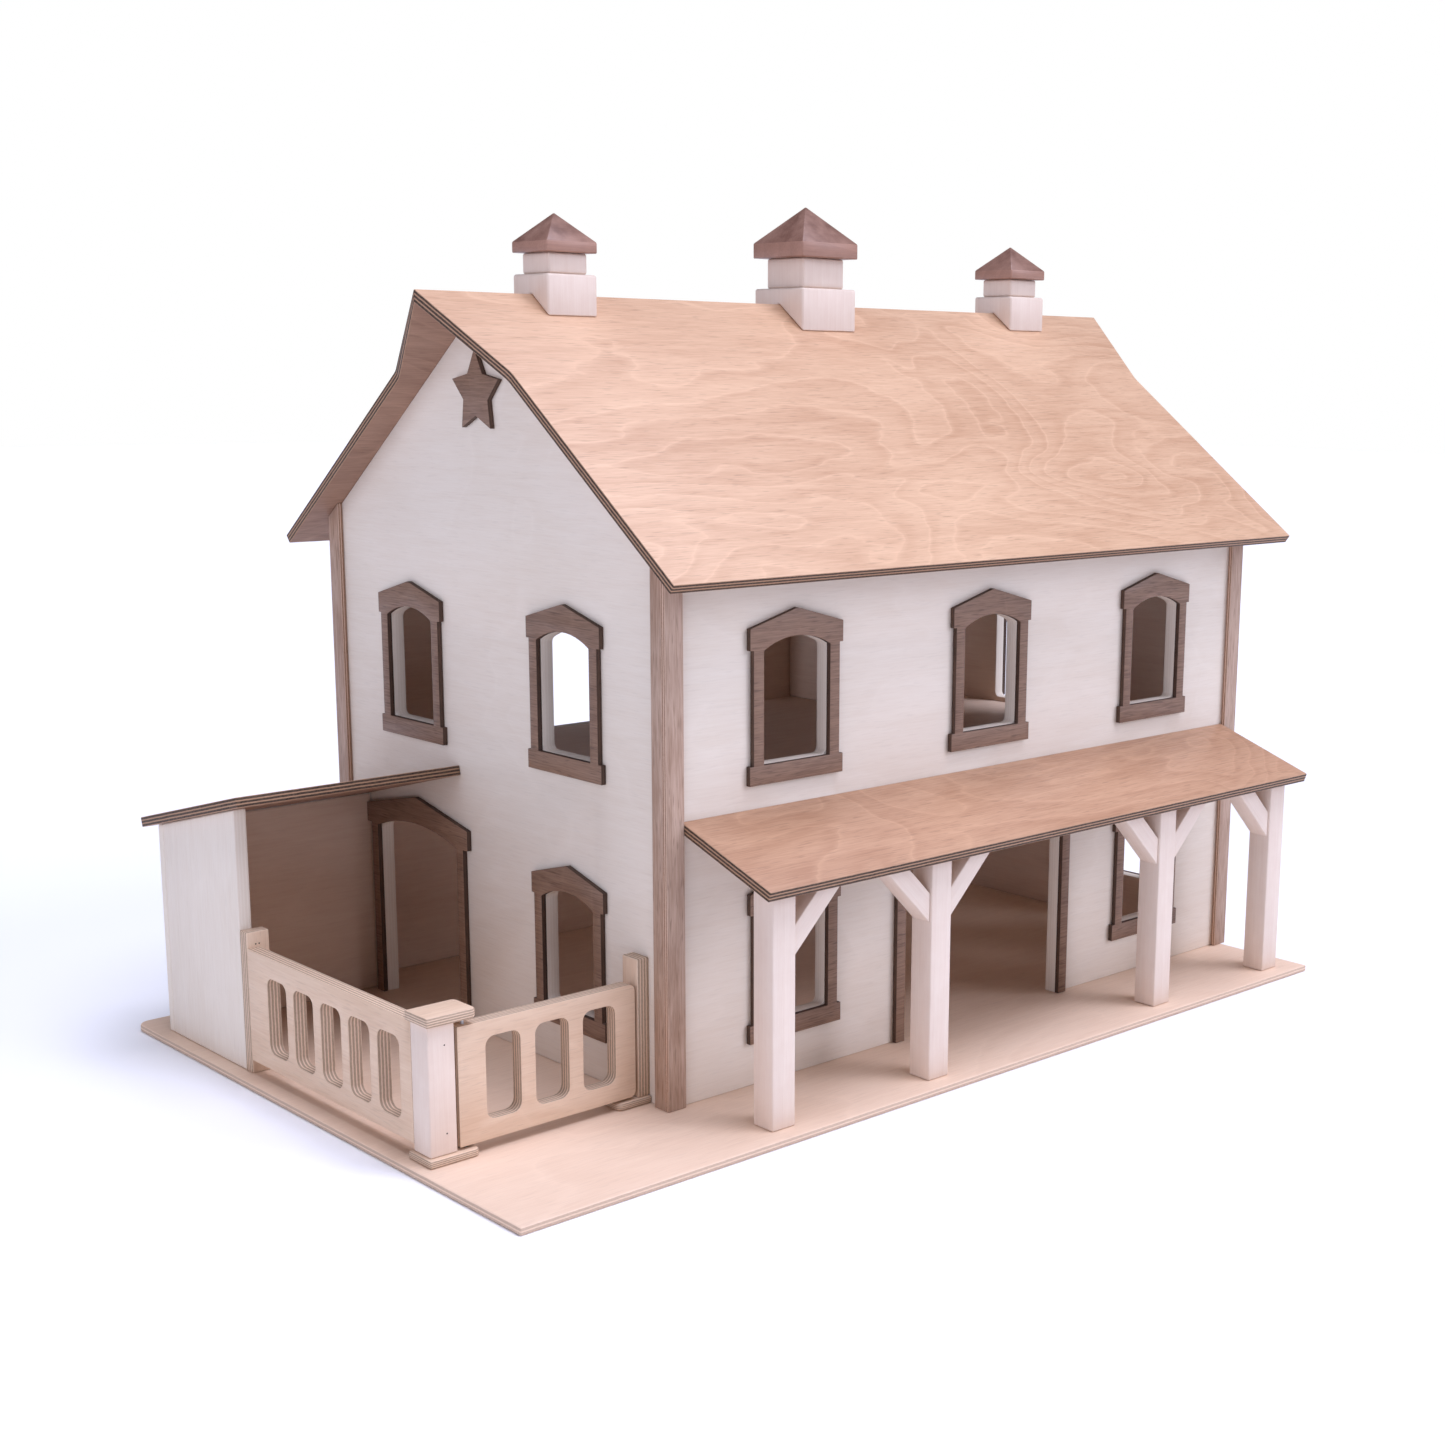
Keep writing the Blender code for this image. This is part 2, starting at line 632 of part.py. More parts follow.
def porch_roof():
    slant = math.hypot(1, PORCH_PITCH)
    back = TRIM_T - FIT
    nose = PORCH_ROOF_T / slant
    low = PORCH_TOP - PORCH_DEPTH * PORCH_PITCH
    section = [
        (back, PORCH_TOP + back * PORCH_PITCH),
        (-PORCH_DEPTH, low),
        (-PORCH_DEPTH + nose * PORCH_PITCH, low - nose),
        (back, PORCH_TOP + back * PORCH_PITCH - PORCH_ROOF_T * slant),
    ]
    start = CORNER_STRIP_W + FIT
    length = HOUSE_LENGTH - 2 * start
    board("porch_roof", ROOF_STAIN, "YZ", section, length, place(start, 0, 0))


def porch_post(name, x):
    front = -PORCH_DEPTH + PORCH_POST_INSET
    back = front + PORCH_POST
    section = [(front, FIT), (back, FIT), (back, porch_under(back)), (front, porch_under(front))]
    at = place(x - PORCH_POST / 2, 0, 0)
    ease(board(name, BARE_WOOD, "YZ", section, PORCH_POST, at))


def porch_brace(name, x, side):
    """A 45 degree brace from a post's side, on side +1 or -1, up to the roof."""
    post_front = -PORCH_DEPTH + PORCH_POST_INSET
    front = post_front + (PORCH_POST - BRACE_T) / 2
    foot = porch_under(post_front) - BRACE_DROP
    heel = foot + BRACE_W * math.sqrt(2)
    start = side * (PORCH_POST / 2 + FIT)
    faces = []
    for y in (front, front + BRACE_T):
        top = porch_under(y)
        low = (start + side * (top - foot), y, top)
        high = (start + side * (top - heel), y, top)
        faces.append([[(start, y, foot), low, high, (start, y, heel)]])
    solid(name, BARE_WOOD, place(x, 0, 0), *faces)


def porch():
    porch_roof()
    left = PORCH_END_INSET
    inner = left + PORCH_END_BAY
    posts = (left, inner, HOUSE_LENGTH - inner, HOUSE_LENGTH - left)
    for number, x in enumerate(posts, start=1):
        porch_post(f"porch_post_{number}", x)
        if number > 1:
            porch_brace(f"porch_brace_{number}_left", x, -1)
        if number < len(posts):
            porch_brace(f"porch_brace_{number}_right", x, 1)


def shed():
    slant = math.hypot(1, SHED_PITCH)
    rear = SHED_BACK_Y + SHED_BACK_T + SHED_REAR_OVERHANG
    low = SHED_ROOF_TOP - (rear - SHED_ROOF_FRONT_Y) * SHED_PITCH
    nose = SHED_ROOF_T / slant
    section = [
        (SHED_ROOF_FRONT_Y, SHED_ROOF_TOP),
        (SHED_ROOF_FRONT_Y - nose * SHED_PITCH, SHED_ROOF_TOP - nose),
        (rear - nose * SHED_PITCH, low - nose),
        (rear, low),
    ]
    left = -YARD_WIDTH - SHED_SIDE_OVERHANG
    width = TRIM_T - FIT - left
    board("shed_roof", ROOF_STAIN, "YZ", section, width, place(left, 0, 0))

    back = SHED_BACK_Y - FIT
    section = [
        (SHED_FRONT_Y, FIT),
        (back, FIT),
        (back, shed_under(back)),
        (SHED_FRONT_Y, shed_under(SHED_FRONT_Y)),
    ]
    board("shed_outer_wall", BIRCH, "YZ", section, RAIL_T, place(-YARD_WIDTH, 0, 0))

    back = SHED_BACK_Y + SHED_BACK_T
    section = [
        (SHED_BACK_Y, FIT),
        (back, FIT),
        (back, shed_under(back)),
        (SHED_BACK_Y, shed_under(SHED_BACK_Y)),
    ]
    width = YARD_WIDTH + TRIM_T - FIT
    board("shed_back_wall", BIRCH, "YZ", section, width, place(-YARD_WIDTH, 0, 0))


def yard_railing():
    start = POST_FRONT_Y + FENCE_POST + FIT
    end = SHED_FRONT_Y - RAIL_POST_T - 2 * FIT
    stiles = (RAIL_FRONT_STILE, RAIL_REAR_STILE)
    outline, slots = slotted(
        end - start, RAIL_BOTTOM, RAIL_TOP, RAIL_SLOTS, stiles, RAIL_BALUSTER, RAIL_BAR,
        RAIL_HEAD, 0,
    )
    at = place(-YARD_WIDTH, start, 0)
    board("yard_railing", BARE_WOOD, "YZ", outline, RAIL_T, at, slots)

    post = rectangle(0, FIT, RAIL_POST_W, RAIL_POST_TOP)
    at = place(-YARD_WIDTH, SHED_FRONT_Y - RAIL_POST_T - FIT, 0)
    ease(board("railing_rear_post", BARE_WOOD, "XZ", post, RAIL_POST_T, at))


def pad(name, z, thickness, left, right, front, back, corners):
    """A flat plate on the ground or on a post, with some corners rounded."""
    outline = rounded(rectangle(left, front, right, back), dict.fromkeys(corners, PAD_RADIUS))
    return board(name, BARE_WOOD, "XY", outline, thickness, place(0, 0, z))


def pivot_bore():
    """The round cutter for the gate's pivot, from the foot plate into the cap."""
    work = bmesh.new()
    height = RAIL_TOP + PIN_IN_CAP - PIN_END + FIT
    radius = PIN_R + FIT
    bmesh.ops.create_cone(
        work, cap_ends=True, segments=24, radius1=radius, radius2=radius, depth=height
    )
    mesh = bpy.data.meshes.new("pivot_bore_cutter")
    work.to_mesh(mesh)
    work.free()
    cutter = bpy.data.objects.new("pivot_bore_cutter", mesh)
    cutter.location = place(*PIVOT, PIN_END - FIT / 2 + height / 2)
    cutter.hide_render = True
    cutter.display_type = "WIRE"
    bpy.context.collection.objects.link(cutter)
    return cutter


def pivot_pin():
    work = bmesh.new()
    height = RAIL_TOP + PIN_IN_CAP - PIN_END - FIT
    bmesh.ops.create_cone(
        work, cap_ends=True, segments=24, radius1=PIN_R, radius2=PIN_R, depth=height
    )
    mesh = bpy.data.meshes.new("gate_pivot_pin")
    work.to_mesh(mesh)
    work.free()
    mesh.shade_smooth()
    mesh.set_sharp_from_angle(angle=math.radians(40))
    mesh.materials.append(wood("gate_pivot_pin_finish", STEEL, 1.0))
    pin = bpy.data.objects.new("gate_pivot_pin", mesh)
    pin.location = place(*PIVOT, PIN_END + FIT / 2 + height / 2)
    bpy.context.collection.objects.link(pin)


def gate_and_posts():
    cutter = pivot_bore()
    pivot_pin()

    post = rectangle(0, 0, FENCE_POST, FENCE_POST)
    at = place(POST_LEFT, POST_FRONT_Y, PAD_T + FIT)
    ease(board("gate_corner_post", BARE_WOOD, "XY", post, RAIL_TOP - PAD_T - 2 * FIT, at))
    edges = (
        POST_LEFT - PAD_MARGIN,
        POST_RIGHT + PAD_REACH,
        POST_FRONT_Y - PAD_FRONT,
        POST_FRONT_Y + FENCE_POST + PAD_MARGIN,
    )
    drill(pad("corner_post_foot", FIT, PAD_T - FIT, *edges, (1, 2)), cutter)
    drill(pad("corner_post_cap", RAIL_TOP, CAP_T, *edges, (1, 2)), cutter)

    stiles = (GATE_HINGE_STILE, GATE_FREE_STILE)
    outline, slots = slotted(
        GATE_RIGHT - GATE_LEFT, 0, GATE_TOP - GATE_BOTTOM, GATE_SLOTS, stiles, GATE_BALUSTER,
        GATE_BAR, GATE_HEAD, GATE_RADIUS,
    )
    outline = [(u - PIVOT_IN, v) for u, v in outline]
    slots = [[(u - PIVOT_IN, v) for u, v in slot] for slot in slots]
    gate = board("gate", BARE_WOOD, "XZ", outline, GATE_T, place(*PIVOT, GATE_BOTTOM), slots)
    for vertex in gate.data.vertices:
        vertex.co.y -= GATE_T / 2
    drill(gate, cutter)

    post = rectangle(0, PAD_T + FIT, LATCH_POST_W - FIT, RAIL_POST_TOP)
    at = place(TRIM_T - LATCH_POST_W, POST_FRONT_Y, 0)
    ease(board("latch_post", BARE_WOOD, "XZ", post, LATCH_POST_D, at))
    edges = (
        TRIM_T - LATCH_POST_W - LATCH_PAD_REACH,
        TRIM_T - FIT,
        POST_FRONT_Y - LATCH_PAD_FRONT,
        POST_FRONT_Y + LATCH_POST_D + LATCH_PAD_BACK,
    )
    pad("latch_post_foot", FIT, PAD_T - FIT, *edges, (0, 3))


def clear_scene():
    for item in list(bpy.data.objects):
        bpy.data.objects.remove(item)


def build():
    clear_scene()
    base_board()
    front_wall()
    back_wall()
    left_gable_wall()
    right_gable_wall()
    upper_floor()
    loft_partition()
    roof_panel("roof_front_panel", 0.0, -1)
    roof_panel("roof_rear_panel", math.pi, 1)
    cupola("cupola_left", CUPOLA_END_INSET, SIDE_CUPOLA)
    cupola("cupola_middle", MID_X, MIDDLE_CUPOLA)
    cupola("cupola_right", HOUSE_LENGTH - CUPOLA_END_INSET, SIDE_CUPOLA)
    corner_strips()
    front_trims()
    gable_trims()
    porch()
    shed()
    yard_railing()
    gate_and_posts()


build()
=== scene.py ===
"""Wooden dollhouse finish: plywood, stain and solid wood over the fixed frame of the house."""

import json
import math

import bmesh
import bpy
from mathutils import Matrix, Vector


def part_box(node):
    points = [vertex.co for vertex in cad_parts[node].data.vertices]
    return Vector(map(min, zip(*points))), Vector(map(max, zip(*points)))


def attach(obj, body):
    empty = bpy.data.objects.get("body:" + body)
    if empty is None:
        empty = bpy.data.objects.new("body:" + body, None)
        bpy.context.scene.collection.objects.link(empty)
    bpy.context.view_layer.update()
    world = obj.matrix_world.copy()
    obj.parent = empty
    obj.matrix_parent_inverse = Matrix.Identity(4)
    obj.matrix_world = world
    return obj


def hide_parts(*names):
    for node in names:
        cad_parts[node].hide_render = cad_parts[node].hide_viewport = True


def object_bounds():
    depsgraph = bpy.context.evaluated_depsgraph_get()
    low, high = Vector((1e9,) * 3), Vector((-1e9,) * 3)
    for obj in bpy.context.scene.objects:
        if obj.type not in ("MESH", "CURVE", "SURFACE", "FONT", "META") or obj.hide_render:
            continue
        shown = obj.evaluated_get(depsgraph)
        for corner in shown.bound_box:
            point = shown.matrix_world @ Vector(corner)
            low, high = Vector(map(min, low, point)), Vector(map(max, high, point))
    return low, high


bl_info = {
    "name": "Wooden Dollhouse Finish",
    "version": (1, 0, 0),
    "blender": (4, 5, 0),
    "location": "View3D > Sidebar > Dollhouse",
    "description": "Finishes the dollhouse in plywood, stained trim and solid wood",
    "category": "Object",
}

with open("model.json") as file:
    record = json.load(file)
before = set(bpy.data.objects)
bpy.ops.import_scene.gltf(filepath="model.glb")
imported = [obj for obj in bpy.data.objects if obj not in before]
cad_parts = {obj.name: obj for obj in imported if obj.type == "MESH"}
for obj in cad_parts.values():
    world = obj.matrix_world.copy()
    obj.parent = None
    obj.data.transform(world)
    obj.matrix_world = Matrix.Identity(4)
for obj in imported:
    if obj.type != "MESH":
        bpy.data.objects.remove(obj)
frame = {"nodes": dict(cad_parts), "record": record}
CAD_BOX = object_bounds()
RECORD = frame["record"]
BODY_OF = {node: body for body, nodes in RECORD["behaviour"]["bodies"].items() for node in nodes}

X = Vector((1, 0, 0))
Y = Vector((0, 1, 0))
Z = Vector((0, 0, 1))
WELD = 1e-5
FLAT_ANGLE = math.radians(1)
SHARP_ANGLE = math.radians(35)
EASED_ANGLE = math.radians(30)  # an edge that turns more than this is rounded
FACE_DOT = 0.9  # a face this square to the board is veneer, the rest is edge
CAP_DOT = 0.5  # the slopes of a cupola cap count as its face
PIN_EDGE = 0.0002
FILLET_STEPS = 9  # of each round corner of a slot
RAIL_MARGIN = 0.005  # no slot comes this near to a slotted board's top or bottom


# ---------------------------------------------------------------------------------------------
# Sizes and colours that a user would change


def length_property(name, description, default):
    return bpy.props.FloatProperty(
        name=name, description=description, default=default, min=0.0, unit="LENGTH", precision=5
    )


def colour_property(name, description, default):
    return bpy.props.FloatVectorProperty(
        name=name, description=description, default=default, size=3, min=0.0, max=1.0,
        subtype="COLOR",
    )


class DollhouseSizes(bpy.types.PropertyGroup):
    """How far edges are eased, and the sizes of the small hardware."""

    wall_edge: length_property("Wall edge", "Rounding of the walls' edges and openings", 0.0015)
    roof_edge: length_property("Roof edge", "Rounding of the roof panels' edges", 0.0008)
    trim_edge: length_property("Trim edge", "Rounding of the thin stained trims", 0.00035)
    fence_edge: length_property("Fence edge", "Routed edge of the gate, railing and plates", 0.0016)
    post_edge: length_property("Post edge", "Eased edge of the posts and braces", 0.0009)
    block_edge: length_property("Block edge", "Rounding of the cupola blocks", 0.0022)
    cap_edge: length_property("Cap edge", "Rounding of the cupola caps", 0.0016)
    slot_width: length_property("Slot width", "Width of a slot in the railing", 0.0325)
    slot_radius: length_property("Slot radius", "Corner radius of a slot in the railing", 0.008)
    brad_radius: length_property("Brad radius", "Radius of a brad's head", 0.0007)
    brad_depth: length_property("Brad depth", "How far a brad's head stands proud", 0.00012)


class DollhouseColours(bpy.types.PropertyGroup):
    """The woods and stains, with darker copies that paint shade inside the house and under the roofs."""

    wall_light: colour_property("Wall, light", "Bare wall veneer", (0.86, 0.77, 0.66))
    wall_dark: colour_property("Wall, dark", "Grain of the wall veneer", (0.79, 0.68, 0.56))
    # Inside colours: the bare wall veneer made darker and warmer, painted shade on the inside faces of
    # the house and the shed.
    inner_painted_shade_light: colour_property("Inside, light", "Veneer inside the house", (0.84, 0.65, 0.51))
    inner_painted_shade_dark: colour_property("Inside, dark", "Grain inside the house", (0.74, 0.53, 0.4))
    base_light: colour_property("Base, light", "Bare base board veneer", (0.84, 0.63, 0.47))
    base_dark: colour_property("Base, dark", "Grain of the base board", (0.75, 0.53, 0.38))
    fence_light: colour_property("Fence, light", "Bare gate and railing", (0.81, 0.61, 0.445))
    fence_dark: colour_property("Fence, dark", "Grain of the gate and railing", (0.69, 0.47, 0.315))
    roof_light: colour_property("Roof, light", "Light parts of the roof stain", (0.77, 0.5, 0.318))
    roof_dark: colour_property("Roof, dark", "Grain lines of the roof stain", (0.53, 0.29, 0.165))
    lean_to_light: colour_property("Lean-to, light", "Light parts of the small roofs", (0.6, 0.355, 0.22))
    lean_to_dark: colour_property("Lean-to, dark", "Grain of the small roofs", (0.4, 0.2, 0.11))
    # Underside colours: the roof stain with painted shade, darker than the tops of the same panels.
    under_painted_shade_light: colour_property("Underside, light", "Roof undersides", (0.42, 0.25, 0.17))
    under_painted_shade_dark: colour_property("Underside, dark", "Grain of the undersides", (0.24, 0.13, 0.085))
    trim_light: colour_property("Trim, light", "Light parts of the trim stain", (0.31, 0.185, 0.12))
    trim_dark: colour_property("Trim, dark", "Grain of the trim stain", (0.15, 0.078, 0.046))
    strip_light: colour_property("Strip, light", "Light streaks of the strips", (0.6, 0.43, 0.33))
    strip_dark: colour_property("Strip, dark", "Dark streaks of the strips", (0.28, 0.15, 0.085))
    post_light: colour_property("Post, light", "Solid wood of the posts", (0.85, 0.71, 0.6))
    post_dark: colour_property("Post, dark", "Grain of the posts", (0.75, 0.58, 0.47))
    cap_light: colour_property("Cap, light", "Light parts of the cap stain", (0.36, 0.2, 0.145))
    cap_dark: colour_property("Cap, dark", "Grain of the cap stain", (0.16, 0.07, 0.045))
    floor: colour_property("Floor", "The floor that the house stands on", (0.95, 0.95, 0.95))


def sizes():
    return bpy.context.scene.dollhouse_sizes


def colours():
    return bpy.context.scene.dollhouse_colours


# ---------------------------------------------------------------------------------------------
# Materials. Each piece carries two attributes: "grain", its coordinates in metres along the grain,
# across it and through the board, and "ply", from 0 to 1 through the board's thickness.


class Bench:
    """Adds nodes to a tree and joins them. Each input takes a socket or a plain value."""

    def join(self, source, target):
        if isinstance(source, bpy.types.NodeSocket):
            self.tree.links.new(source, target)
        else:
            target.default_value = source

    def math(self, operation, first, second=0.0):
        node = self.tree.nodes.new("ShaderNodeMath")
        node.operation = operation
        self.join(first, node.inputs[0])
        self.join(second, node.inputs[1])
        return node.outputs["Value"]


def colour_sockets(sockets):
    """The colour inputs or outputs of a Mix node, which has others of the same names."""
    return [socket for socket in sockets if socket.type == "RGBA"]


class NodeBench(Bench):
    """Builds one material."""

    def __init__(self, name):
        self.material = bpy.data.materials.new(name)
        self.material.use_nodes = True
        self.tree = self.material.node_tree
        self.shader = self.tree.nodes["Principled BSDF"]

    def attribute(self, name, output):
        node = self.tree.nodes.new("ShaderNodeAttribute")
        node.attribute_name = name
        return node.outputs[output]

    def scaled(self, vector, scale):
        node = self.tree.nodes.new("ShaderNodeVectorMath")
        node.operation = "MULTIPLY"
        self.join(vector, node.inputs[0])
        node.inputs[1].default_value = scale
        return node.outputs["Vector"]

    def noise(self, vector, detail=2.0, roughness=0.5, distortion=0.0):
        node = self.tree.nodes.new("ShaderNodeTexNoise")
        node.inputs["Scale"].default_value = 1.0
        node.inputs["Detail"].default_value = detail
        node.inputs["Roughness"].default_value = roughness
        node.inputs["Distortion"].default_value = distortion
        self.join(vector, node.inputs["Vector"])
        return node.outputs["Fac"]

    def ramp(self, factor, stops, interpolation="LINEAR"):
        """stops are (position, grey or colour); returns the colour."""
        node = self.tree.nodes.new("ShaderNodeValToRGB")
        node.color_ramp.interpolation = interpolation
        elements = node.color_ramp.elements
        while len(elements) < len(stops):
            elements.new(0.5)
        for element, (position, tone) in zip(elements, stops):
            element.position = position
            tone = (tone,) * 3 if isinstance(tone, (int, float)) else tone
            element.color = (*tone, 1.0)
        self.join(factor, node.inputs["Fac"])
        return node.outputs["Color"]

    def mix(self, factor, first, second):
        node = self.tree.nodes.new("ShaderNodeMix")
        node.data_type = "RGBA"
        self.join(factor, node.inputs["Factor"])
        for value, socket in zip((first, second), colour_sockets(node.inputs)):
            value = (value,) * 3 if isinstance(value, float) else value
            self.join((*value, 1.0) if isinstance(value, tuple) else value, socket)
        return colour_sockets(node.outputs)[0]

    def bump(self, height, strength, distance):
        node = self.tree.nodes.new("ShaderNodeBump")
        node.inputs["Strength"].default_value = strength
        node.inputs["Distance"].default_value = distance
        self.join(height, node.inputs["Height"])
        self.join(node.outputs["Normal"], self.shader.inputs["Normal"])

    def surface(self, colour, roughness, low, high):
        """Sets the colour, and a roughness that follows a grey between two values."""
        self.join(colour, self.shader.inputs["Base Color"])
        node = self.tree.nodes.new("ShaderNodeMapRange")
        self.join(roughness, node.inputs["Value"])
        node.inputs["To Min"].default_value = low
        node.inputs["To Max"].default_value = high
        self.join(node.outputs["Result"], self.shader.inputs["Roughness"])


def veneer(name, light, dark, figure=0.3, rings=14.0, fibre=0.35, blotch=0.3, fleck=0.3, gloss=0.5):
    """Rotary-cut veneer: pale contour lines with a shaded side, fine fibre, blotches and flecks."""
    bench = NodeBench(name)
    grain = bench.attribute("grain", "Vector")
    wander = bench.noise(bench.scaled(grain, (3.0, 5.4, 2.0)), 1.8, 0.42, 0.8)
    ripple = bench.noise(bench.scaled(grain, (18.0, 45.0, 9.0)), 2.0, 0.5)
    field = bench.math("ADD", wander, bench.math("MULTIPLY", ripple, 0.045))
    saw = bench.math("FRACT", bench.math("MULTIPLY", field, rings))
    shade = bench.ramp(saw, [(0.0, 0.25), (0.40, 0.35), (0.85, 0.80), (1.0, 0.25)], "EASE")
    pale = bench.ramp(saw, [(0.0, 1.0), (0.10, 0.0), (0.97, 0.0), (1.0, 1.0)])
    fine = bench.noise(bench.scaled(grain, (34.0, 760.0, 90.0)), 4.0, 0.62)
    threads = bench.ramp(fine, [(0.32, 0.0), (0.68, 1.0)])
    streaks = bench.noise(bench.scaled(grain, (13.0, 150.0, 20.0)), 3.0, 0.6)
    cloud = bench.noise(bench.scaled(grain, (4.5, 10.0, 3.0)), 2.0, 0.5, 0.3)
    cloud = bench.mix(0.45, cloud, streaks)
    cloud = bench.ramp(cloud, [(0.36, 0.0), (0.64, 1.0)])
    short = bench.noise(bench.scaled(grain, (62.0, 720.0, 120.0)), 1.0, 0.4)
    flecks = bench.ramp(short, [(0.60, 0.0), (0.74, 1.0)])

    tone = bench.mix(figure, cloud, shade)
    tone = bench.mix(blotch, shade, tone)
    tone = bench.mix(fibre, tone, threads)
    middle = tuple(0.55 * a + 0.45 * b for a, b in zip(light, dark))
    colour = bench.ramp(tone, [(0.10, light), (0.50, middle), (0.92, dark)])
    bright = tuple(min(1.0, 1.12 * value) for value in light)
    colour = bench.mix(bench.math("MULTIPLY", pale, figure), colour, bright)
    deep = tuple(value * 0.6 for value in dark)
    colour = bench.mix(bench.math("MULTIPLY", flecks, fleck), colour, deep)
    bench.surface(colour, threads, gloss - 0.05, gloss + 0.09)
    bench.bump(fine, 0.22, 0.0002)
    return bench.material


def ply_edge(name, light, dark, lines, contrast=1.0, scorch=0.0):
    """A sawn plywood edge: pale long-grain layers with dark cross-grain lines between them."""
    bench = NodeBench(name)
    grain = bench.attribute("grain", "Vector")
    ply = bench.attribute("ply", "Fac")
    wobble = bench.noise(bench.scaled(grain, (130.0, 130.0, 130.0)), 1.0)
    wobble = bench.math("MULTIPLY", bench.math("SUBTRACT", wobble, 0.5), 0.05)
    wave = bench.math("FRACT", bench.math("MULTIPLY", bench.math("ADD", ply, wobble), lines))
    stripes = [(0.0, 0.0), (0.16, 0.05), (0.24, 1.0), (0.76, 1.0), (0.84, 0.05), (1.0, 0.0)]
    stripes = bench.ramp(wave, stripes)
    fibres = bench.noise(bench.scaled(grain, (420.0, 420.0, 900.0)), 3.0, 0.6)
    speckle = bench.ramp(fibres, [(0.35, 0.0), (0.7, 1.0)])
    tone = bench.mix(0.18, bench.mix(contrast, 0.0, stripes), speckle)
    colour = bench.ramp(tone, [(0.0, light), (1.0, dark)])
    if scorch:
        burnt = tuple(value * 0.35 for value in dark)
        patches = bench.noise(bench.scaled(grain, (60.0, 60.0, 60.0)), 2.0)
        colour = bench.mix(bench.math("MULTIPLY", patches, scorch), colour, burnt)
    bench.surface(colour, speckle, 0.62, 0.8)
    bench.bump(fibres, 0.25, 0.0003)
    return bench.material


def solid_wood(name, light, dark, ring_width=0.0035, contrast=0.5, blotch=0.25, gloss=0.5):
    """Sawn solid wood: growth rings round an axis outside the stick, fine pores, gentle colour drift."""
    bench = NodeBench(name)
    grain = bench.attribute("grain", "Vector")
    bend = bench.noise(bench.scaled(grain, (6.0, 25.0, 25.0)), 2.0)
    rings = bench.tree.nodes.new("ShaderNodeTexWave")
    rings.wave_type = "RINGS"
    rings.rings_direction = "X"
    rings.wave_profile = "SAW"
    rings.inputs["Scale"].default_value = 0.1 / ring_width
    rings.inputs["Distortion"].default_value = 2.4
    rings.inputs["Detail"].default_value = 1.5
    rings.inputs["Detail Scale"].default_value = 1.2
    bench.join(bench.scaled(grain, (0.08, 1.0, 1.0)), rings.inputs["Vector"])
    fine = bench.noise(bench.scaled(grain, (30.0, 700.0, 700.0)), 4.0, 0.6)
    pores = bench.ramp(fine, [(0.35, 0.0), (0.68, 1.0)])
    tone = bench.mix(contrast, 0.0, rings.outputs["Fac"])
    tone = bench.mix(0.3, tone, pores)
    cloud = bench.noise(bench.scaled(grain, (60.0, 60.0, 60.0)), 3.0, 0.6)
    cloud = bench.ramp(bench.mix(0.5, bend, cloud), [(0.38, 0.0), (0.62, 1.0)])
    tone = bench.mix(blotch, tone, cloud)
    colour = bench.ramp(tone, [(0.05, light), (0.9, dark)])
    bench.surface(colour, pores, gloss - 0.04, gloss + 0.1)
    bench.bump(fine, 0.2, 0.0002)
    return bench.material


def steel(name, colour, roughness):
    """Plain drawn steel, faintly scratched along its length."""
    bench = NodeBench(name)
    grain = bench.attribute("grain", "Vector")
    scratches = bench.noise(bench.scaled(grain, (40.0, 3000.0, 3000.0)), 2.0)
    tint = bench.ramp(scratches, [(0.3, tuple(c * 0.8 for c in colour)), (0.7, colour)])
    bench.surface(tint, scratches, roughness, roughness + 0.15)
    bench.shader.inputs["Metallic"].default_value = 1.0
    return bench.material


def finish_of(name, recipe, *settings, **more):
    """The material of that name, made the first time it is asked for."""
    return bpy.data.materials.get(name) or recipe(name, *settings, **more)


def wall_finish():
    c = colours()
    light, dark = tuple(c.wall_light), tuple(c.wall_dark)
    settings = {"figure": 0.08, "rings": 7.0, "fibre": 0.30, "blotch": 0.8, "fleck": 0.10}
    face = finish_of("bare_wall_veneer", veneer, light, dark, gloss=0.55, **settings)
    edge = finish_of("bare_wall_edge", ply_edge, light, dark, 4, 0.6)
    # The inside faces get the darker, warmer inside veneer: painted shade, not a different wood.
    light, dark = tuple(c.inner_painted_shade_light), tuple(c.inner_painted_shade_dark)
    inner_painted_shade = finish_of("inner_wall_veneer_painted_shade", veneer, light, dark, gloss=0.55, **settings)
    return face, edge, inner_painted_shade


# The upper floor and loft partition get the painted-shade inside veneer on both faces.
def painted_shade_inside_finish():
    _, edge, inner_painted_shade = wall_finish()
    return inner_painted_shade, edge


def base_finish():
    c = colours()
    light, dark = tuple(c.base_light), tuple(c.base_dark)
    face = finish_of(
        "bare_base_veneer", veneer, light, dark,
        figure=0.14, rings=7.0, fibre=0.32, blotch=0.7, fleck=0.15, gloss=0.5,
    )
    deep = tuple(0.7 * value for value in dark)
    return face, finish_of("bare_base_edge", ply_edge, light, deep, 2, 0.9)


def fence_finish():
    c = colours()
    light, dark = tuple(c.fence_light), tuple(c.fence_dark)
    face = finish_of(
        "bare_fence_veneer", veneer, light, dark,
        figure=0.12, rings=8.0, fibre=0.34, blotch=0.8, fleck=0.22, gloss=0.5,
    )
    deep = tuple(0.45 * value for value in dark)
    return face, finish_of("bare_fence_edge", ply_edge, light, deep, 4, 0.85)


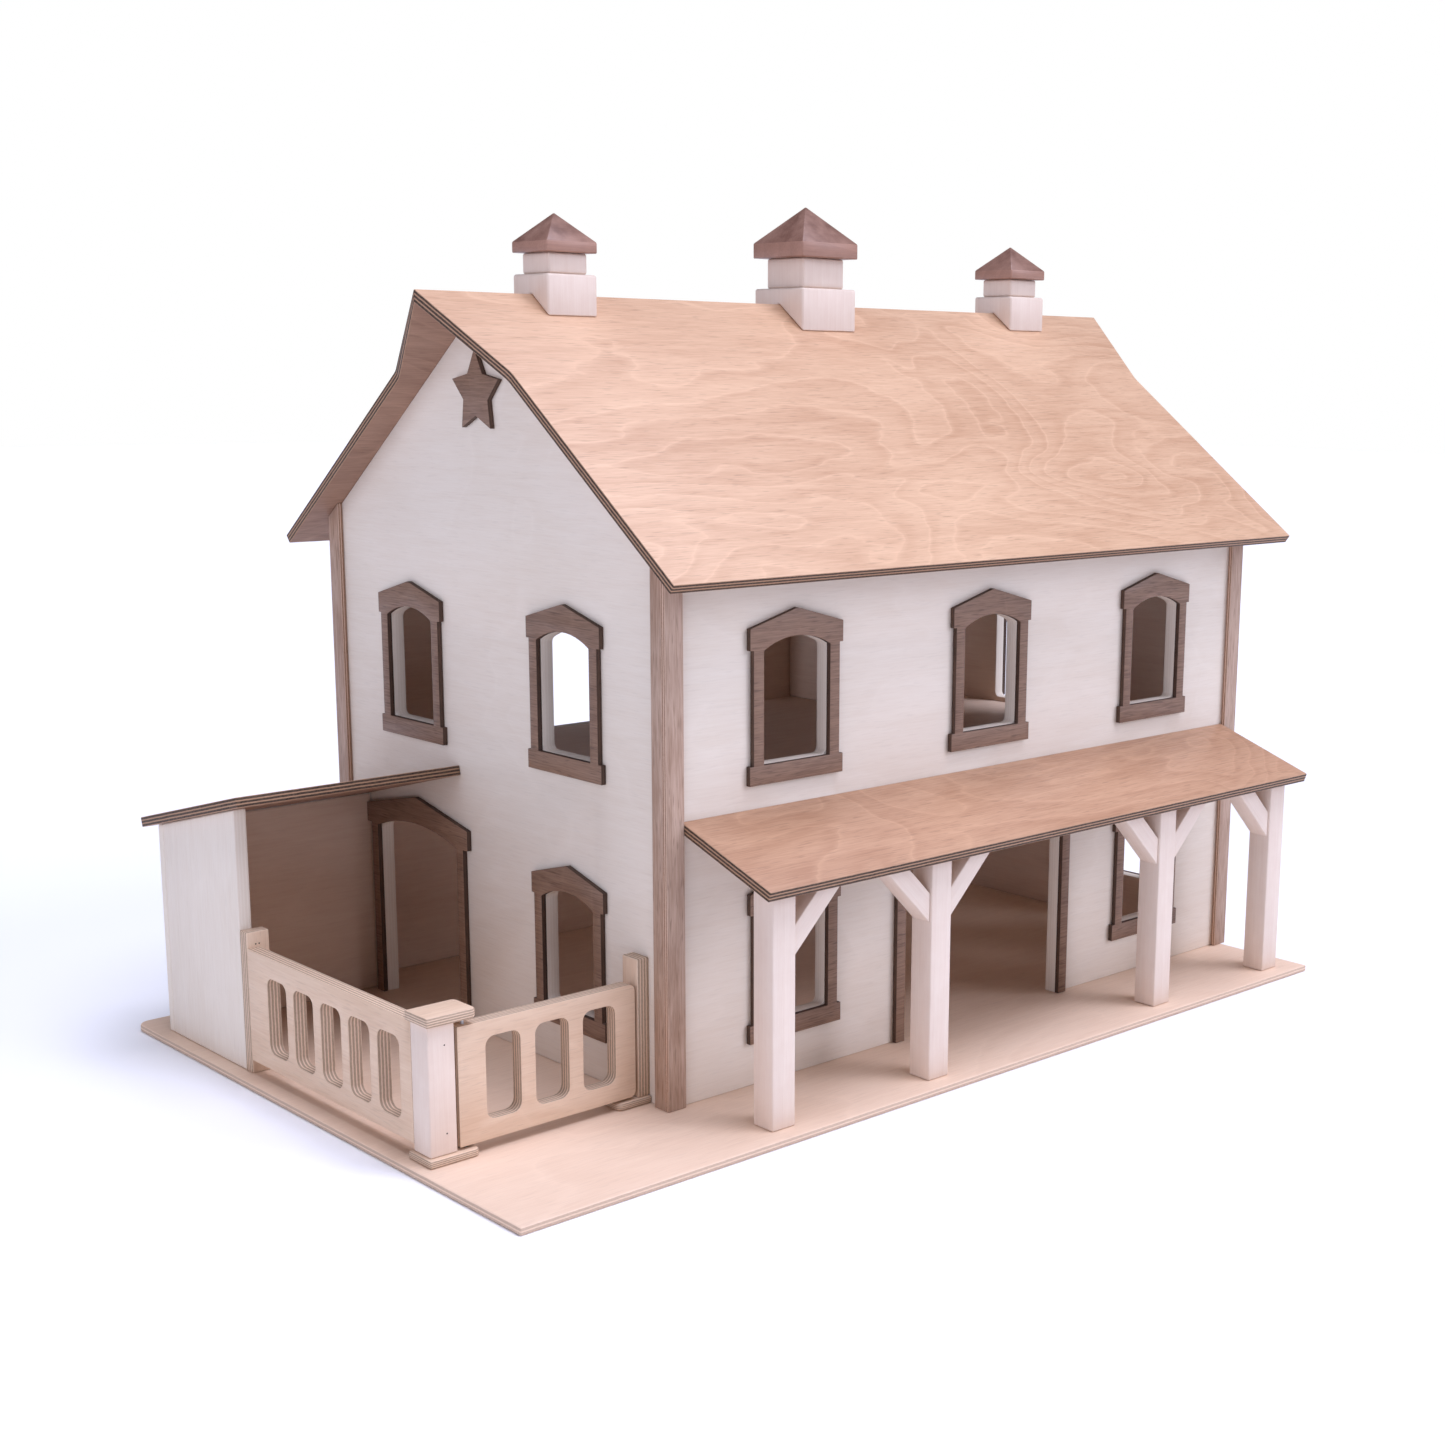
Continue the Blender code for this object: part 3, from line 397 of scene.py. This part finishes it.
def roof_finish(shade="main"):
    """The main roof is stained lighter than the two lean-to roofs."""
    c = colours()
    light, dark = tuple(c.roof_light), tuple(c.roof_dark)
    if shade == "lean_to":
        light, dark = tuple(c.lean_to_light), tuple(c.lean_to_dark)
    settings = {"figure": 0.27, "rings": 13.0, "fibre": 0.30, "blotch": 0.82, "fleck": 0.35}
    face = finish_of(f"stained_{shade}_roof_veneer", veneer, light, dark, gloss=0.42, **settings)
    middle = tuple(0.2 * a + 0.6 * b for a, b in zip(light, dark))
    deep = tuple(0.04 * value for value in dark)
    edge = finish_of("stained_roof_edge", ply_edge, middle, deep, 3, 1.0)
    # Roof undersides: the real stain, made darker as painted shade.
    light, dark = tuple(c.under_painted_shade_light), tuple(c.under_painted_shade_dark)
    under = finish_of("stained_roof_underside_painted_shade", veneer, light, dark, gloss=0.5, **settings)
    return face, edge, under


def trim_finish():
    c = colours()
    light, dark = tuple(c.trim_light), tuple(c.trim_dark)
    face = finish_of(
        "stained_trim_veneer", veneer, light, dark,
        figure=0.10, rings=12.0, fibre=0.50, blotch=0.85, fleck=0.6, gloss=0.5,
    )
    deep = tuple(0.45 * value for value in dark)
    return face, finish_of("scorched_trim_edge", ply_edge, dark, deep, 2, 0.6, 0.8)


def strip_finish():
    c = colours()
    light, dark = tuple(c.strip_light), tuple(c.strip_dark)
    face = finish_of(
        "stained_strip_veneer", veneer, light, dark,
        figure=0.06, rings=9.0, fibre=0.40, blotch=0.9, fleck=0.5, gloss=0.5,
    )
    pale = tuple(min(1.0, 1.3 * value) for value in light)
    return face, finish_of("stained_strip_edge", ply_edge, pale, dark, 2, 1.0)


def post_finish():
    c = colours()
    light, dark = tuple(c.post_light), tuple(c.post_dark)
    wood = finish_of("sanded_post_wood", solid_wood, light, dark, contrast=0.32)
    return wood, wood


def cap_finish():
    c = colours()
    light, dark = tuple(c.cap_light), tuple(c.cap_dark)
    settings = {"ring_width": 0.006, "contrast": 0.35, "gloss": 0.4}
    slope = finish_of("stained_slope_wood", solid_wood, light, dark, blotch=0.7, **settings)
    rim = tuple(min(1.0, 1.25 * value) for value in light)
    middle = tuple(0.5 * a + 0.5 * b for a, b in zip(light, dark))
    return slope, finish_of("stained_rim_wood", solid_wood, rim, middle, **settings)


# ---------------------------------------------------------------------------------------------
# Pieces


def grain_offset(name):
    """A fixed shift for each piece, so that no two pieces show the same figure."""
    total = sum((index + 3) * ord(letter) for index, letter in enumerate(name))
    return Vector((total % 17 * 0.31, total % 23 * 0.27, total % 29 * 0.13))


def write_grain(mesh, name, along, through):
    """Stores the grain and ply coordinates that the materials read."""
    across = through.cross(along).normalized()
    offset = grain_offset(name)
    depth = [vertex.co.dot(through) for vertex in mesh.vertices]
    low = min(depth)
    span = max(max(depth) - low, 1e-6)
    mesh.attributes.new("grain", "FLOAT_VECTOR", "POINT")
    mesh.attributes.new("ply", "FLOAT", "POINT")
    points = []
    for vertex, level in zip(mesh.vertices, depth):
        point = Vector((vertex.co.dot(along), vertex.co.dot(across), level - low))
        points.extend(point + offset)
    mesh.attributes["grain"].data.foreach_set("vector", points)
    mesh.attributes["ply"].data.foreach_set("value", [(level - low) / span for level in depth])


def settled(piece):
    """Turns the piece's modifiers into plain mesh."""
    graph = bpy.context.evaluated_depsgraph_get()
    mesh = bpy.data.meshes.new_from_object(piece.evaluated_get(graph))
    old = piece.data
    piece.modifiers.clear()
    piece.data = mesh
    bpy.data.meshes.remove(old)
    mesh.name = piece.name
    return piece


def eased(piece, width, segments=3):
    """Rounds every sharp edge of the piece."""
    bevel = piece.modifiers.new("eased edges", "BEVEL")
    bevel.width = width
    bevel.segments = segments
    bevel.limit_method = "ANGLE"
    bevel.angle_limit = EASED_ANGLE
    bevel.use_clamp_overlap = True
    bevel.miter_outer = "MITER_ARC"
    return settled(piece)


def dressed(piece, node, along, through, finish, squareness=FACE_DOT):
    """Gives the piece its grain, its finish and its body, in place of a node.

    The finish holds the materials of the face towards "through", of the edges, and of the back.
    """
    mesh = piece.data
    mesh.materials.clear()
    for material in finish:
        mesh.materials.append(material)
    face, edge = 0, 1
    back = 2 if len(finish) > 2 else face
    for polygon in mesh.polygons:
        square = polygon.normal.dot(through)
        if square > squareness:
            polygon.material_index = face
        elif square < -squareness:
            polygon.material_index = back
        else:
            polygon.material_index = edge
    write_grain(mesh, node, along, through)
    mesh.shade_smooth()
    mesh.set_sharp_from_angle(angle=SHARP_ANGLE)
    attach(piece, BODY_OF[node])
    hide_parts(node)
    return piece


def placed_mesh(node):
    """A bmesh of the node's shape, where the frame has it."""
    work = bmesh.new()
    work.from_mesh(frame["nodes"][node].data)
    return work


def made_whole(work, mesh):
    """Merges a bmesh's loose corners and joins its flat faces, then writes it to the mesh."""
    bmesh.ops.remove_doubles(work, verts=work.verts, dist=WELD)
    bmesh.ops.dissolve_limit(
        work, angle_limit=FLAT_ANGLE, use_dissolve_boundaries=False, verts=work.verts,
        edges=work.edges, delimit=set(),
    )
    bmesh.ops.recalc_face_normals(work, faces=work.faces)
    work.to_mesh(mesh)
    work.free()


def copied(node):
    """A joined copy of a node's mesh."""
    mesh = bpy.data.meshes.new(node + "_finished")
    made_whole(placed_mesh(node), mesh)
    piece = bpy.data.objects.new(node + "_finished", mesh)
    bpy.context.scene.collection.objects.link(piece)
    return piece


def finished(node, along, through, finish, edge, segments=3, squareness=FACE_DOT):
    """A node's shape with eased edges, grain and finish."""
    piece = eased(copied(node), edge, segments)
    return dressed(piece, node, along, through, finish, squareness)


def roof_normal(node):
    """The direction out of a sloping panel's largest face."""
    work = placed_mesh(node)
    work.normal_update()
    largest = max(work.faces, key=lambda face: face.calc_area())
    normal = largest.normal.copy()
    work.free()
    return normal if normal.z > 0 else -normal


# ---------------------------------------------------------------------------------------------
# Geometry Nodes


class GeometryBench(Bench):
    """Builds one geometry tree, whose named inputs are its sizes."""

    def __init__(self, name, inputs):
        self.tree = bpy.data.node_groups.new(name, "GeometryNodeTree")
        face = self.tree.interface
        for label, kind in inputs:
            face.new_socket(name=label, in_out="INPUT", socket_type=kind)
        face.new_socket(name="Geometry", in_out="OUTPUT", socket_type="NodeSocketGeometry")
        self.source = self.tree.nodes.new("NodeGroupInput")
        self.result = self.tree.nodes.new("NodeGroupOutput")

    def size(self, label):
        return self.source.outputs[label]

    def node(self, kind, settings=(), **inputs):
        """A node with its settings and its inputs by name, with _ for each space."""
        node = self.tree.nodes.new(kind)
        for label, value in settings:
            setattr(node, label, value)
        for label, value in inputs.items():
            self.join(value, node.inputs[label.replace("_", " ")])
        return node

    def vector(self, x, y, z):
        return self.node("ShaderNodeCombineXYZ", X=x, Y=y, Z=z).outputs["Vector"]

    def joined(self, *parts):
        node = self.tree.nodes.new("GeometryNodeJoinGeometry")
        for part in parts:
            self.tree.links.new(part, node.inputs["Geometry"])
        return node.outputs["Geometry"]

    def finish(self, geometry, material):
        """Ends the tree in Realize Instances and Set Material."""
        real = self.node("GeometryNodeRealizeInstances", Geometry=geometry).outputs["Geometry"]
        dressed_up = self.node("GeometryNodeSetMaterial", Geometry=real, Material=material)
        self.tree.links.new(dressed_up.outputs["Geometry"], self.result.inputs["Geometry"])
        return self.tree


def grown(name, tree, values):
    """A piece made by a geometry tree, with its inputs set by name."""
    mesh = bpy.data.meshes.new(name)
    piece = bpy.data.objects.new(name, mesh)
    bpy.context.scene.collection.objects.link(piece)
    modifier = piece.modifiers.new("shape", "NODES")
    modifier.node_group = tree
    for item in tree.interface.items_tree:
        if item.in_out == "INPUT" and item.name in values:
            modifier[item.identifier] = values[item.name]
    return settled(piece)


def slotted_board_tree(material):
    """A flat board in the XY plane with a row of round-cornered slots, made thick along Z."""
    kinds = [
        ("Length", "NodeSocketFloat"), ("Height", "NodeSocketFloat"),
        ("Thickness", "NodeSocketFloat"), ("Slots", "NodeSocketInt"),
        ("Slot Width", "NodeSocketFloat"), ("Slot Height", "NodeSocketFloat"),
        ("Slot Radius", "NodeSocketFloat"), ("First Slot", "NodeSocketFloat"),
        ("Pitch", "NodeSocketFloat"), ("Slot Middle", "NodeSocketFloat"),
    ]
    bench = GeometryBench("slotted board", kinds)
    size = bench.size
    outline = bench.node(
        "GeometryNodeCurvePrimitiveQuadrilateral", Width=size("Length"), Height=size("Height")
    ).outputs["Curve"]
    half = bench.vector(
        bench.math("MULTIPLY", size("Length"), 0.5), bench.math("MULTIPLY", size("Height"), 0.5), 0.0
    )
    outline = bench.node(
        "GeometryNodeTransform", Geometry=outline, Translation=half
    ).outputs["Geometry"]
    slot = bench.node(
        "GeometryNodeCurvePrimitiveQuadrilateral", Width=size("Slot Width"), Height=size("Slot Height")
    ).outputs["Curve"]
    slot = bench.node(
        "GeometryNodeFilletCurve", [("mode", "POLY")], Curve=slot, Radius=size("Slot Radius"),
        Count=FILLET_STEPS,
    ).outputs["Curve"]
    start = bench.vector(size("First Slot"), size("Slot Middle"), 0.0)
    row = bench.node(
        "GeometryNodeMeshLine", Count=size("Slots"), Start_Location=start,
        Offset=bench.vector(size("Pitch"), 0.0, 0.0),
    ).outputs["Mesh"]
    slots = bench.node(
        "GeometryNodeInstanceOnPoints", Points=row, Instance=slot
    ).outputs["Instances"]
    slots = bench.node("GeometryNodeRealizeInstances", Geometry=slots).outputs["Geometry"]
    curves = bench.joined(outline, slots)
    sheet = bench.node("GeometryNodeFillCurve", Curve=curves).outputs["Mesh"]
    raised = bench.node(
        "GeometryNodeExtrudeMesh", Mesh=sheet, Offset_Scale=size("Thickness"), Individual=False
    ).outputs["Mesh"]
    under = bench.node("GeometryNodeFlipFaces", Mesh=sheet).outputs["Mesh"]
    whole = bench.joined(raised, under)
    welded = bench.node("GeometryNodeMergeByDistance", Geometry=whole, Distance=WELD)
    return bench.finish(welded.outputs["Geometry"], material)


def brad_tree(material):
    """A row of low domed brad heads along X, facing +Z."""
    kinds = [
        ("Radius", "NodeSocketFloat"), ("Proud", "NodeSocketFloat"), ("Count", "NodeSocketInt"),
        ("Spacing", "NodeSocketFloat"),
    ]
    bench = GeometryBench("brad heads", kinds)
    size = bench.size
    head = bench.node(
        "GeometryNodeMeshUVSphere", Segments=16, Rings=8, Radius=size("Radius")
    ).outputs["Mesh"]
    flat = bench.vector(1.0, 1.0, bench.math("DIVIDE", size("Proud"), size("Radius")))
    head = bench.node("GeometryNodeTransform", Geometry=head, Scale=flat).outputs["Geometry"]
    row = bench.node(
        "GeometryNodeMeshLine", Count=size("Count"), Offset=bench.vector(size("Spacing"), 0.0, 0.0)
    ).outputs["Mesh"]
    heads = bench.node(
        "GeometryNodeInstanceOnPoints", Points=row, Instance=head
    ).outputs["Instances"]
    return bench.finish(heads, material)


# ---------------------------------------------------------------------------------------------
# Operators


class Finisher(bpy.types.Operator):
    """Shared settings of the finishing steps."""

    bl_options = {"REGISTER", "UNDO"}


class DOLLHOUSE_OT_walls(Finisher):
    """Finish the base board, walls, upper floor and room divider"""

    bl_idname = "dollhouse.walls"
    bl_label = "Walls and Floors"

    def execute(self, context):
        edge = sizes().wall_edge
        finished("base_board", X, Z, base_finish(), edge)
        finished("upper_floor", X, Z, painted_shade_inside_finish(), edge)
        finished("front_wall", X, -Y, wall_finish(), edge)
        finished("back_wall", X, Y, wall_finish(), edge)
        finished("left_gable_wall", Y, -X, wall_finish(), edge)
        finished("right_gable_wall", Y, X, wall_finish(), edge)
        finished("loft_partition", Y, X, painted_shade_inside_finish(), edge)
        return {"FINISHED"}


class DOLLHOUSE_OT_roofs(Finisher):
    """Finish the main, porch and shed roofs in light stained plywood"""

    bl_idname = "dollhouse.roofs"
    bl_label = "Roofs"

    def execute(self, context):
        edge = sizes().roof_edge
        for node in ("roof_front_panel", "roof_rear_panel"):
            finished(node, X, roof_normal(node), roof_finish(), edge)
        for node in ("porch_roof", "shed_roof"):
            finished(node, X, roof_normal(node), roof_finish("lean_to"), edge)
        return {"FINISHED"}


class DOLLHOUSE_OT_cupolas(Finisher):
    """Finish the three ridge cupolas"""

    bl_idname = "dollhouse.cupolas"
    bl_label = "Cupolas"

    def execute(self, context):
        for name in ("cupola_left", "cupola_middle", "cupola_right"):
            finished(name + "_base", Z, Y, post_finish(), sizes().block_edge)
            finished(name + "_neck", Z, Y, post_finish(), sizes().post_edge)
            finished(name + "_cap", X, Z, cap_finish(), sizes().cap_edge, squareness=CAP_DOT)
        return {"FINISHED"}


class DOLLHOUSE_OT_trims(Finisher):
    """Finish the window and door trims, the star and the corner strips"""

    bl_idname = "dollhouse.trims"
    bl_label = "Trims"

    def execute(self, context):
        edge = sizes().trim_edge
        for node in sorted(frame["nodes"]):
            low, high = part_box(node)
            if "trim" in node or node == "gable_star":
                on_front = high.x - low.x > high.y - low.y
                along, through = (X, Y) if on_front else (Y, X)
                finished(node, along, through, trim_finish(), edge, 2)
            elif node.startswith("corner_strip"):
                through = X if "gable" in node else Y
                finished(node, Z, through, strip_finish(), edge, 2)
        return {"FINISHED"}


class DOLLHOUSE_OT_porch(Finisher):
    """Finish the porch posts and their braces"""

    bl_idname = "dollhouse.porch"
    bl_label = "Porch Posts"

    def execute(self, context):
        for node in sorted(frame["nodes"]):
            if node.startswith("porch_post"):
                finished(node, Z, Y, post_finish(), sizes().post_edge)
            elif node.startswith("porch_brace"):
                side = 1 if node.endswith("right") else -1
                along = Vector((side, 0, 1)).normalized()
                finished(node, along, Y, post_finish(), sizes().post_edge)
        return {"FINISHED"}


class DOLLHOUSE_OT_shed(Finisher):
    """Finish the shed's walls"""

    bl_idname = "dollhouse.shed"
    bl_label = "Shed"

    def execute(self, context):
        finished("shed_outer_wall", Z, -X, wall_finish(), sizes().wall_edge)
        finished("shed_back_wall", X, Y, wall_finish(), sizes().wall_edge)
        return {"FINISHED"}


def slot_span(node):
    """The lowest and highest level of a slotted board's slots."""
    low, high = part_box(node)
    work = placed_mesh(node)
    levels = [vertex.co.z for vertex in work.verts]
    work.free()
    inside = [level for level in levels if low.z + RAIL_MARGIN < level < high.z - RAIL_MARGIN]
    return min(inside), max(inside)


class DOLLHOUSE_OT_fence(Finisher):
    """Build the slotted railing, and finish the fence posts and their plates"""

    bl_idname = "dollhouse.fence"
    bl_label = "Fence"

    def railing(self):
        """The railing's slots follow its opening boxes, so they stay where the frame has them."""
        low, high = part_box("yard_railing")
        slots = [
            row["box_m"] for row in RECORD["physics"]["openings"]
            if row["name"].startswith("railing_slot")
        ]
        middles = sorted((corner[1] + far_corner[1]) / 2 for corner, far_corner in slots)
        foot, head = slot_span("yard_railing")
        values = {
            "Length": high.y - low.y,
            "Height": high.z - low.z,
            "Thickness": high.x - low.x,
            "Slots": len(middles),
            "Slot Width": sizes().slot_width,
            "Slot Height": head - foot,
            "Slot Radius": sizes().slot_radius,
            "First Slot": middles[0] - low.y,
            "Pitch": (middles[-1] - middles[0]) / (len(middles) - 1),
            "Slot Middle": (head + foot) / 2 - low.z,
        }
        piece = grown("yard_railing_finished", slotted_board_tree(fence_finish()[0]), values)
        turn = Matrix(((0, 0, 1, low.x), (1, 0, 0, low.y), (0, 1, 0, low.z), (0, 0, 0, 1)))
        piece.data.transform(turn)
        work = bmesh.new()
        work.from_mesh(piece.data)
        made_whole(work, piece.data)
        eased(piece, sizes().fence_edge)
        dressed(piece, "yard_railing", Y, X, fence_finish())

    def execute(self, context):
        self.railing()
        edge = sizes().fence_edge
        finished("railing_rear_post", Z, Y, fence_finish(), edge)
        finished("latch_post", Z, X, fence_finish(), edge)
        finished("gate_corner_post", Z, Y, post_finish(), sizes().post_edge)
        for node in ("corner_post_cap", "corner_post_foot", "latch_post_foot"):
            finished(node, X, Z, fence_finish(), edge)
        return {"FINISHED"}


class DOLLHOUSE_OT_gate(Finisher):
    """Finish the swinging gate and its pin"""

    bl_idname = "dollhouse.gate"
    bl_label = "Gate"

    def execute(self, context):
        finished("gate", X, Y, fence_finish(), sizes().fence_edge)
        shine = finish_of("drawn_steel", steel, (0.55, 0.55, 0.56), 0.3)
        finished("gate_pivot_pin", Z, X, (shine, shine), PIN_EDGE, 2)
        return {"FINISHED"}


# Brads in the railing's rear post and in the corner post, from the post's left, top or foot
REAR_BRAD_SHARE = 0.40  # of the post's width
REAR_BRAD_GAP = 0.0032
REAR_BRAD_DOWN = 0.011
LOWER_BRAD_DOWN = 0.0155
CORNER_BRAD_SHARE = 0.62
CORNER_BRAD_IN = 0.017  # from each end of the post


class DOLLHOUSE_OT_brads(Finisher):
    """Add the small brad heads in the fence posts"""

    bl_idname = "dollhouse.brads"
    bl_label = "Brads"

    def execute(self, context):
        shine = finish_of("dark_brad_steel", steel, (0.10, 0.08, 0.07), 0.5)
        tree = brad_tree(shine)
        shape = {"Radius": sizes().brad_radius, "Proud": sizes().brad_depth}
        low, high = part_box("railing_rear_post")
        left = low.x + REAR_BRAD_SHARE * (high.x - low.x)
        right = left + REAR_BRAD_GAP
        rows = [
            ("rear_post_brads", 2, (left, low.y, high.z - REAR_BRAD_DOWN), REAR_BRAD_GAP, X),
            ("rear_post_lower_brad", 1, (right, low.y, high.z - LOWER_BRAD_DOWN), REAR_BRAD_GAP, X),
        ]
        low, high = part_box("gate_corner_post")
        middle = low.x + CORNER_BRAD_SHARE * (high.x - low.x)
        span = high.z - low.z - 2 * CORNER_BRAD_IN
        rows.append(("corner_post_brads", 2, (middle, low.y, low.z + CORNER_BRAD_IN), span, Z))
        for name, count, start, spacing, along in rows:
            piece = grown(name, tree, {**shape, "Count": count, "Spacing": spacing})
            across = (-Y).cross(along)
            turn = Matrix((along, across, -Y)).transposed().to_4x4()
            turn.translation = Vector(start)
            piece.data.transform(turn)
            write_grain(piece.data, name, along, -Y)
            piece.data.shade_smooth()
            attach(piece, BODY_OF["gate_corner_post"])
        return {"FINISHED"}


# The camera's place and aim, from the middle of the base board's underside
CAMERA_AT = (-1.2759, -1.4624, 0.6036)
CAMERA_YAW = 0.7668
CAMERA_PITCH = -0.2005
CAMERA_ROLL = 0.0108
LENS_MM = 50.15
SENSOR_MM = 36.0
CAMERA_SHIFT = (-0.0964, 0.0419)
NEAREST = 0.05

# The lights: each sun's name, direction, strength and softness in degrees
DAYLIGHT = (0.93, 0.96, 1.18)
AMBIENT = 0.12  # of the light from all round, against the white behind
SUNS = (
    ("key_light", (-0.60, 0.75, -0.45), 1.25, 35),
    ("fill_light", (1.0, 0.15, -0.30), 1.05, 60),
    ("top_light", (-0.15, 0.20, -1.0), 2.7, 40),
)
FLOOR_HALF = 14.0
FLOOR_GAP = 0.0003  # under the base board


class DOLLHOUSE_OT_stage(Finisher):
    """Add the floor, the studio lights and the camera"""

    bl_idname = "dollhouse.stage"
    bl_label = "Stage"

    def floor(self):
        mesh = bpy.data.meshes.new("studio_floor")
        half = FLOOR_HALF
        corners = [(-half, -half, 0), (half, -half, 0), (half, half, 0), (-half, half, 0)]
        mesh.from_pydata(corners, [], [(0, 1, 2, 3)])
        floor = bpy.data.objects.new("studio_floor", mesh)
        floor.location.z = CAD_BOX[0].z - FLOOR_GAP
        bench = NodeBench("pale_floor")
        bench.shader.inputs["Base Color"].default_value = (*colours().floor, 1.0)
        bench.shader.inputs["Roughness"].default_value = 0.9
        mesh.materials.append(bench.material)
        bpy.context.scene.collection.objects.link(floor)

    def sun(self, name, towards, strength, softness):
        lamp = bpy.data.lights.new(name, "SUN")
        lamp.energy = strength
        lamp.angle = math.radians(softness)
        lamp.color = DAYLIGHT
        light = bpy.data.objects.new(name, lamp)
        light.rotation_euler = Vector(towards).to_track_quat("-Z", "Y").to_euler()
        bpy.context.scene.collection.objects.link(light)

    def world(self):
        """White behind the house, and a dimmer soft light from all round."""
        world = bpy.data.worlds.new("studio_white")
        world.use_nodes = True
        tree = world.node_tree
        background = tree.nodes["Background"]
        rays = tree.nodes.new("ShaderNodeLightPath")
        level = tree.nodes.new("ShaderNodeMix")
        level.data_type = "RGBA"
        dim, white = colour_sockets(level.inputs)
        dim.default_value = (*(AMBIENT * value for value in DAYLIGHT), 1.0)
        white.default_value = (1.0, 1.0, 1.0, 1.0)
        tree.links.new(rays.outputs["Is Camera Ray"], level.inputs["Factor"])
        tree.links.new(colour_sockets(level.outputs)[0], background.inputs["Color"])
        bpy.context.scene.world = world
        bpy.context.scene.view_settings.view_transform = "Standard"

    def camera(self):
        lens = bpy.data.cameras.new("studio_camera")
        lens.sensor_width = SENSOR_MM
        lens.lens = LENS_MM
        lens.shift_x, lens.shift_y = CAMERA_SHIFT
        lens.clip_start = NEAREST
        camera = bpy.data.objects.new("studio_camera", lens)
        turn = (
            Matrix.Rotation(-CAMERA_YAW, 4, "Z")
            @ Matrix.Rotation(math.pi / 2 + CAMERA_PITCH, 4, "X")
            @ Matrix.Rotation(CAMERA_ROLL, 4, "Z")
        )
        camera.matrix_world = Matrix.Translation(CAMERA_AT) @ turn
        bpy.context.scene.collection.objects.link(camera)
        bpy.context.scene.camera = camera

    def execute(self, context):
        self.floor()
        self.world()
        for settings in SUNS:
            self.sun(*settings)
        self.camera()
        return {"FINISHED"}


class DOLLHOUSE_PT_panel(bpy.types.Panel):
    """Lists the finishing steps with their sizes and colours"""

    bl_idname = "DOLLHOUSE_PT_panel"
    bl_label = "Dollhouse"
    bl_space_type = "VIEW_3D"
    bl_region_type = "UI"
    bl_category = "Dollhouse"

    def draw(self, context):
        for step in STEPS:
            self.layout.operator(step.bl_idname)
        for group in (sizes(), colours()):
            column = self.layout.column(align=True)
            for name in group.bl_rna.properties.keys():
                if name not in ("rna_type", "name"):
                    column.prop(group, name)


STEPS = (
    DOLLHOUSE_OT_walls,
    DOLLHOUSE_OT_roofs,
    DOLLHOUSE_OT_cupolas,
    DOLLHOUSE_OT_trims,
    DOLLHOUSE_OT_porch,
    DOLLHOUSE_OT_shed,
    DOLLHOUSE_OT_fence,
    DOLLHOUSE_OT_gate,
    DOLLHOUSE_OT_brads,
    DOLLHOUSE_OT_stage,
)
CLASSES = (DollhouseSizes, DollhouseColours, *STEPS, DOLLHOUSE_PT_panel)


def register():
    for each in CLASSES:
        bpy.utils.register_class(each)
    bpy.types.Scene.dollhouse_sizes = bpy.props.PointerProperty(type=DollhouseSizes)
    bpy.types.Scene.dollhouse_colours = bpy.props.PointerProperty(type=DollhouseColours)


def unregister():
    del bpy.types.Scene.dollhouse_colours
    del bpy.types.Scene.dollhouse_sizes
    for each in reversed(CLASSES):
        bpy.utils.unregister_class(each)


def main():
    register()
    for step in STEPS:
        family, name = step.bl_idname.split(".")
        getattr(getattr(bpy.ops, family), name)()


if __name__ == "__main__":
    main()
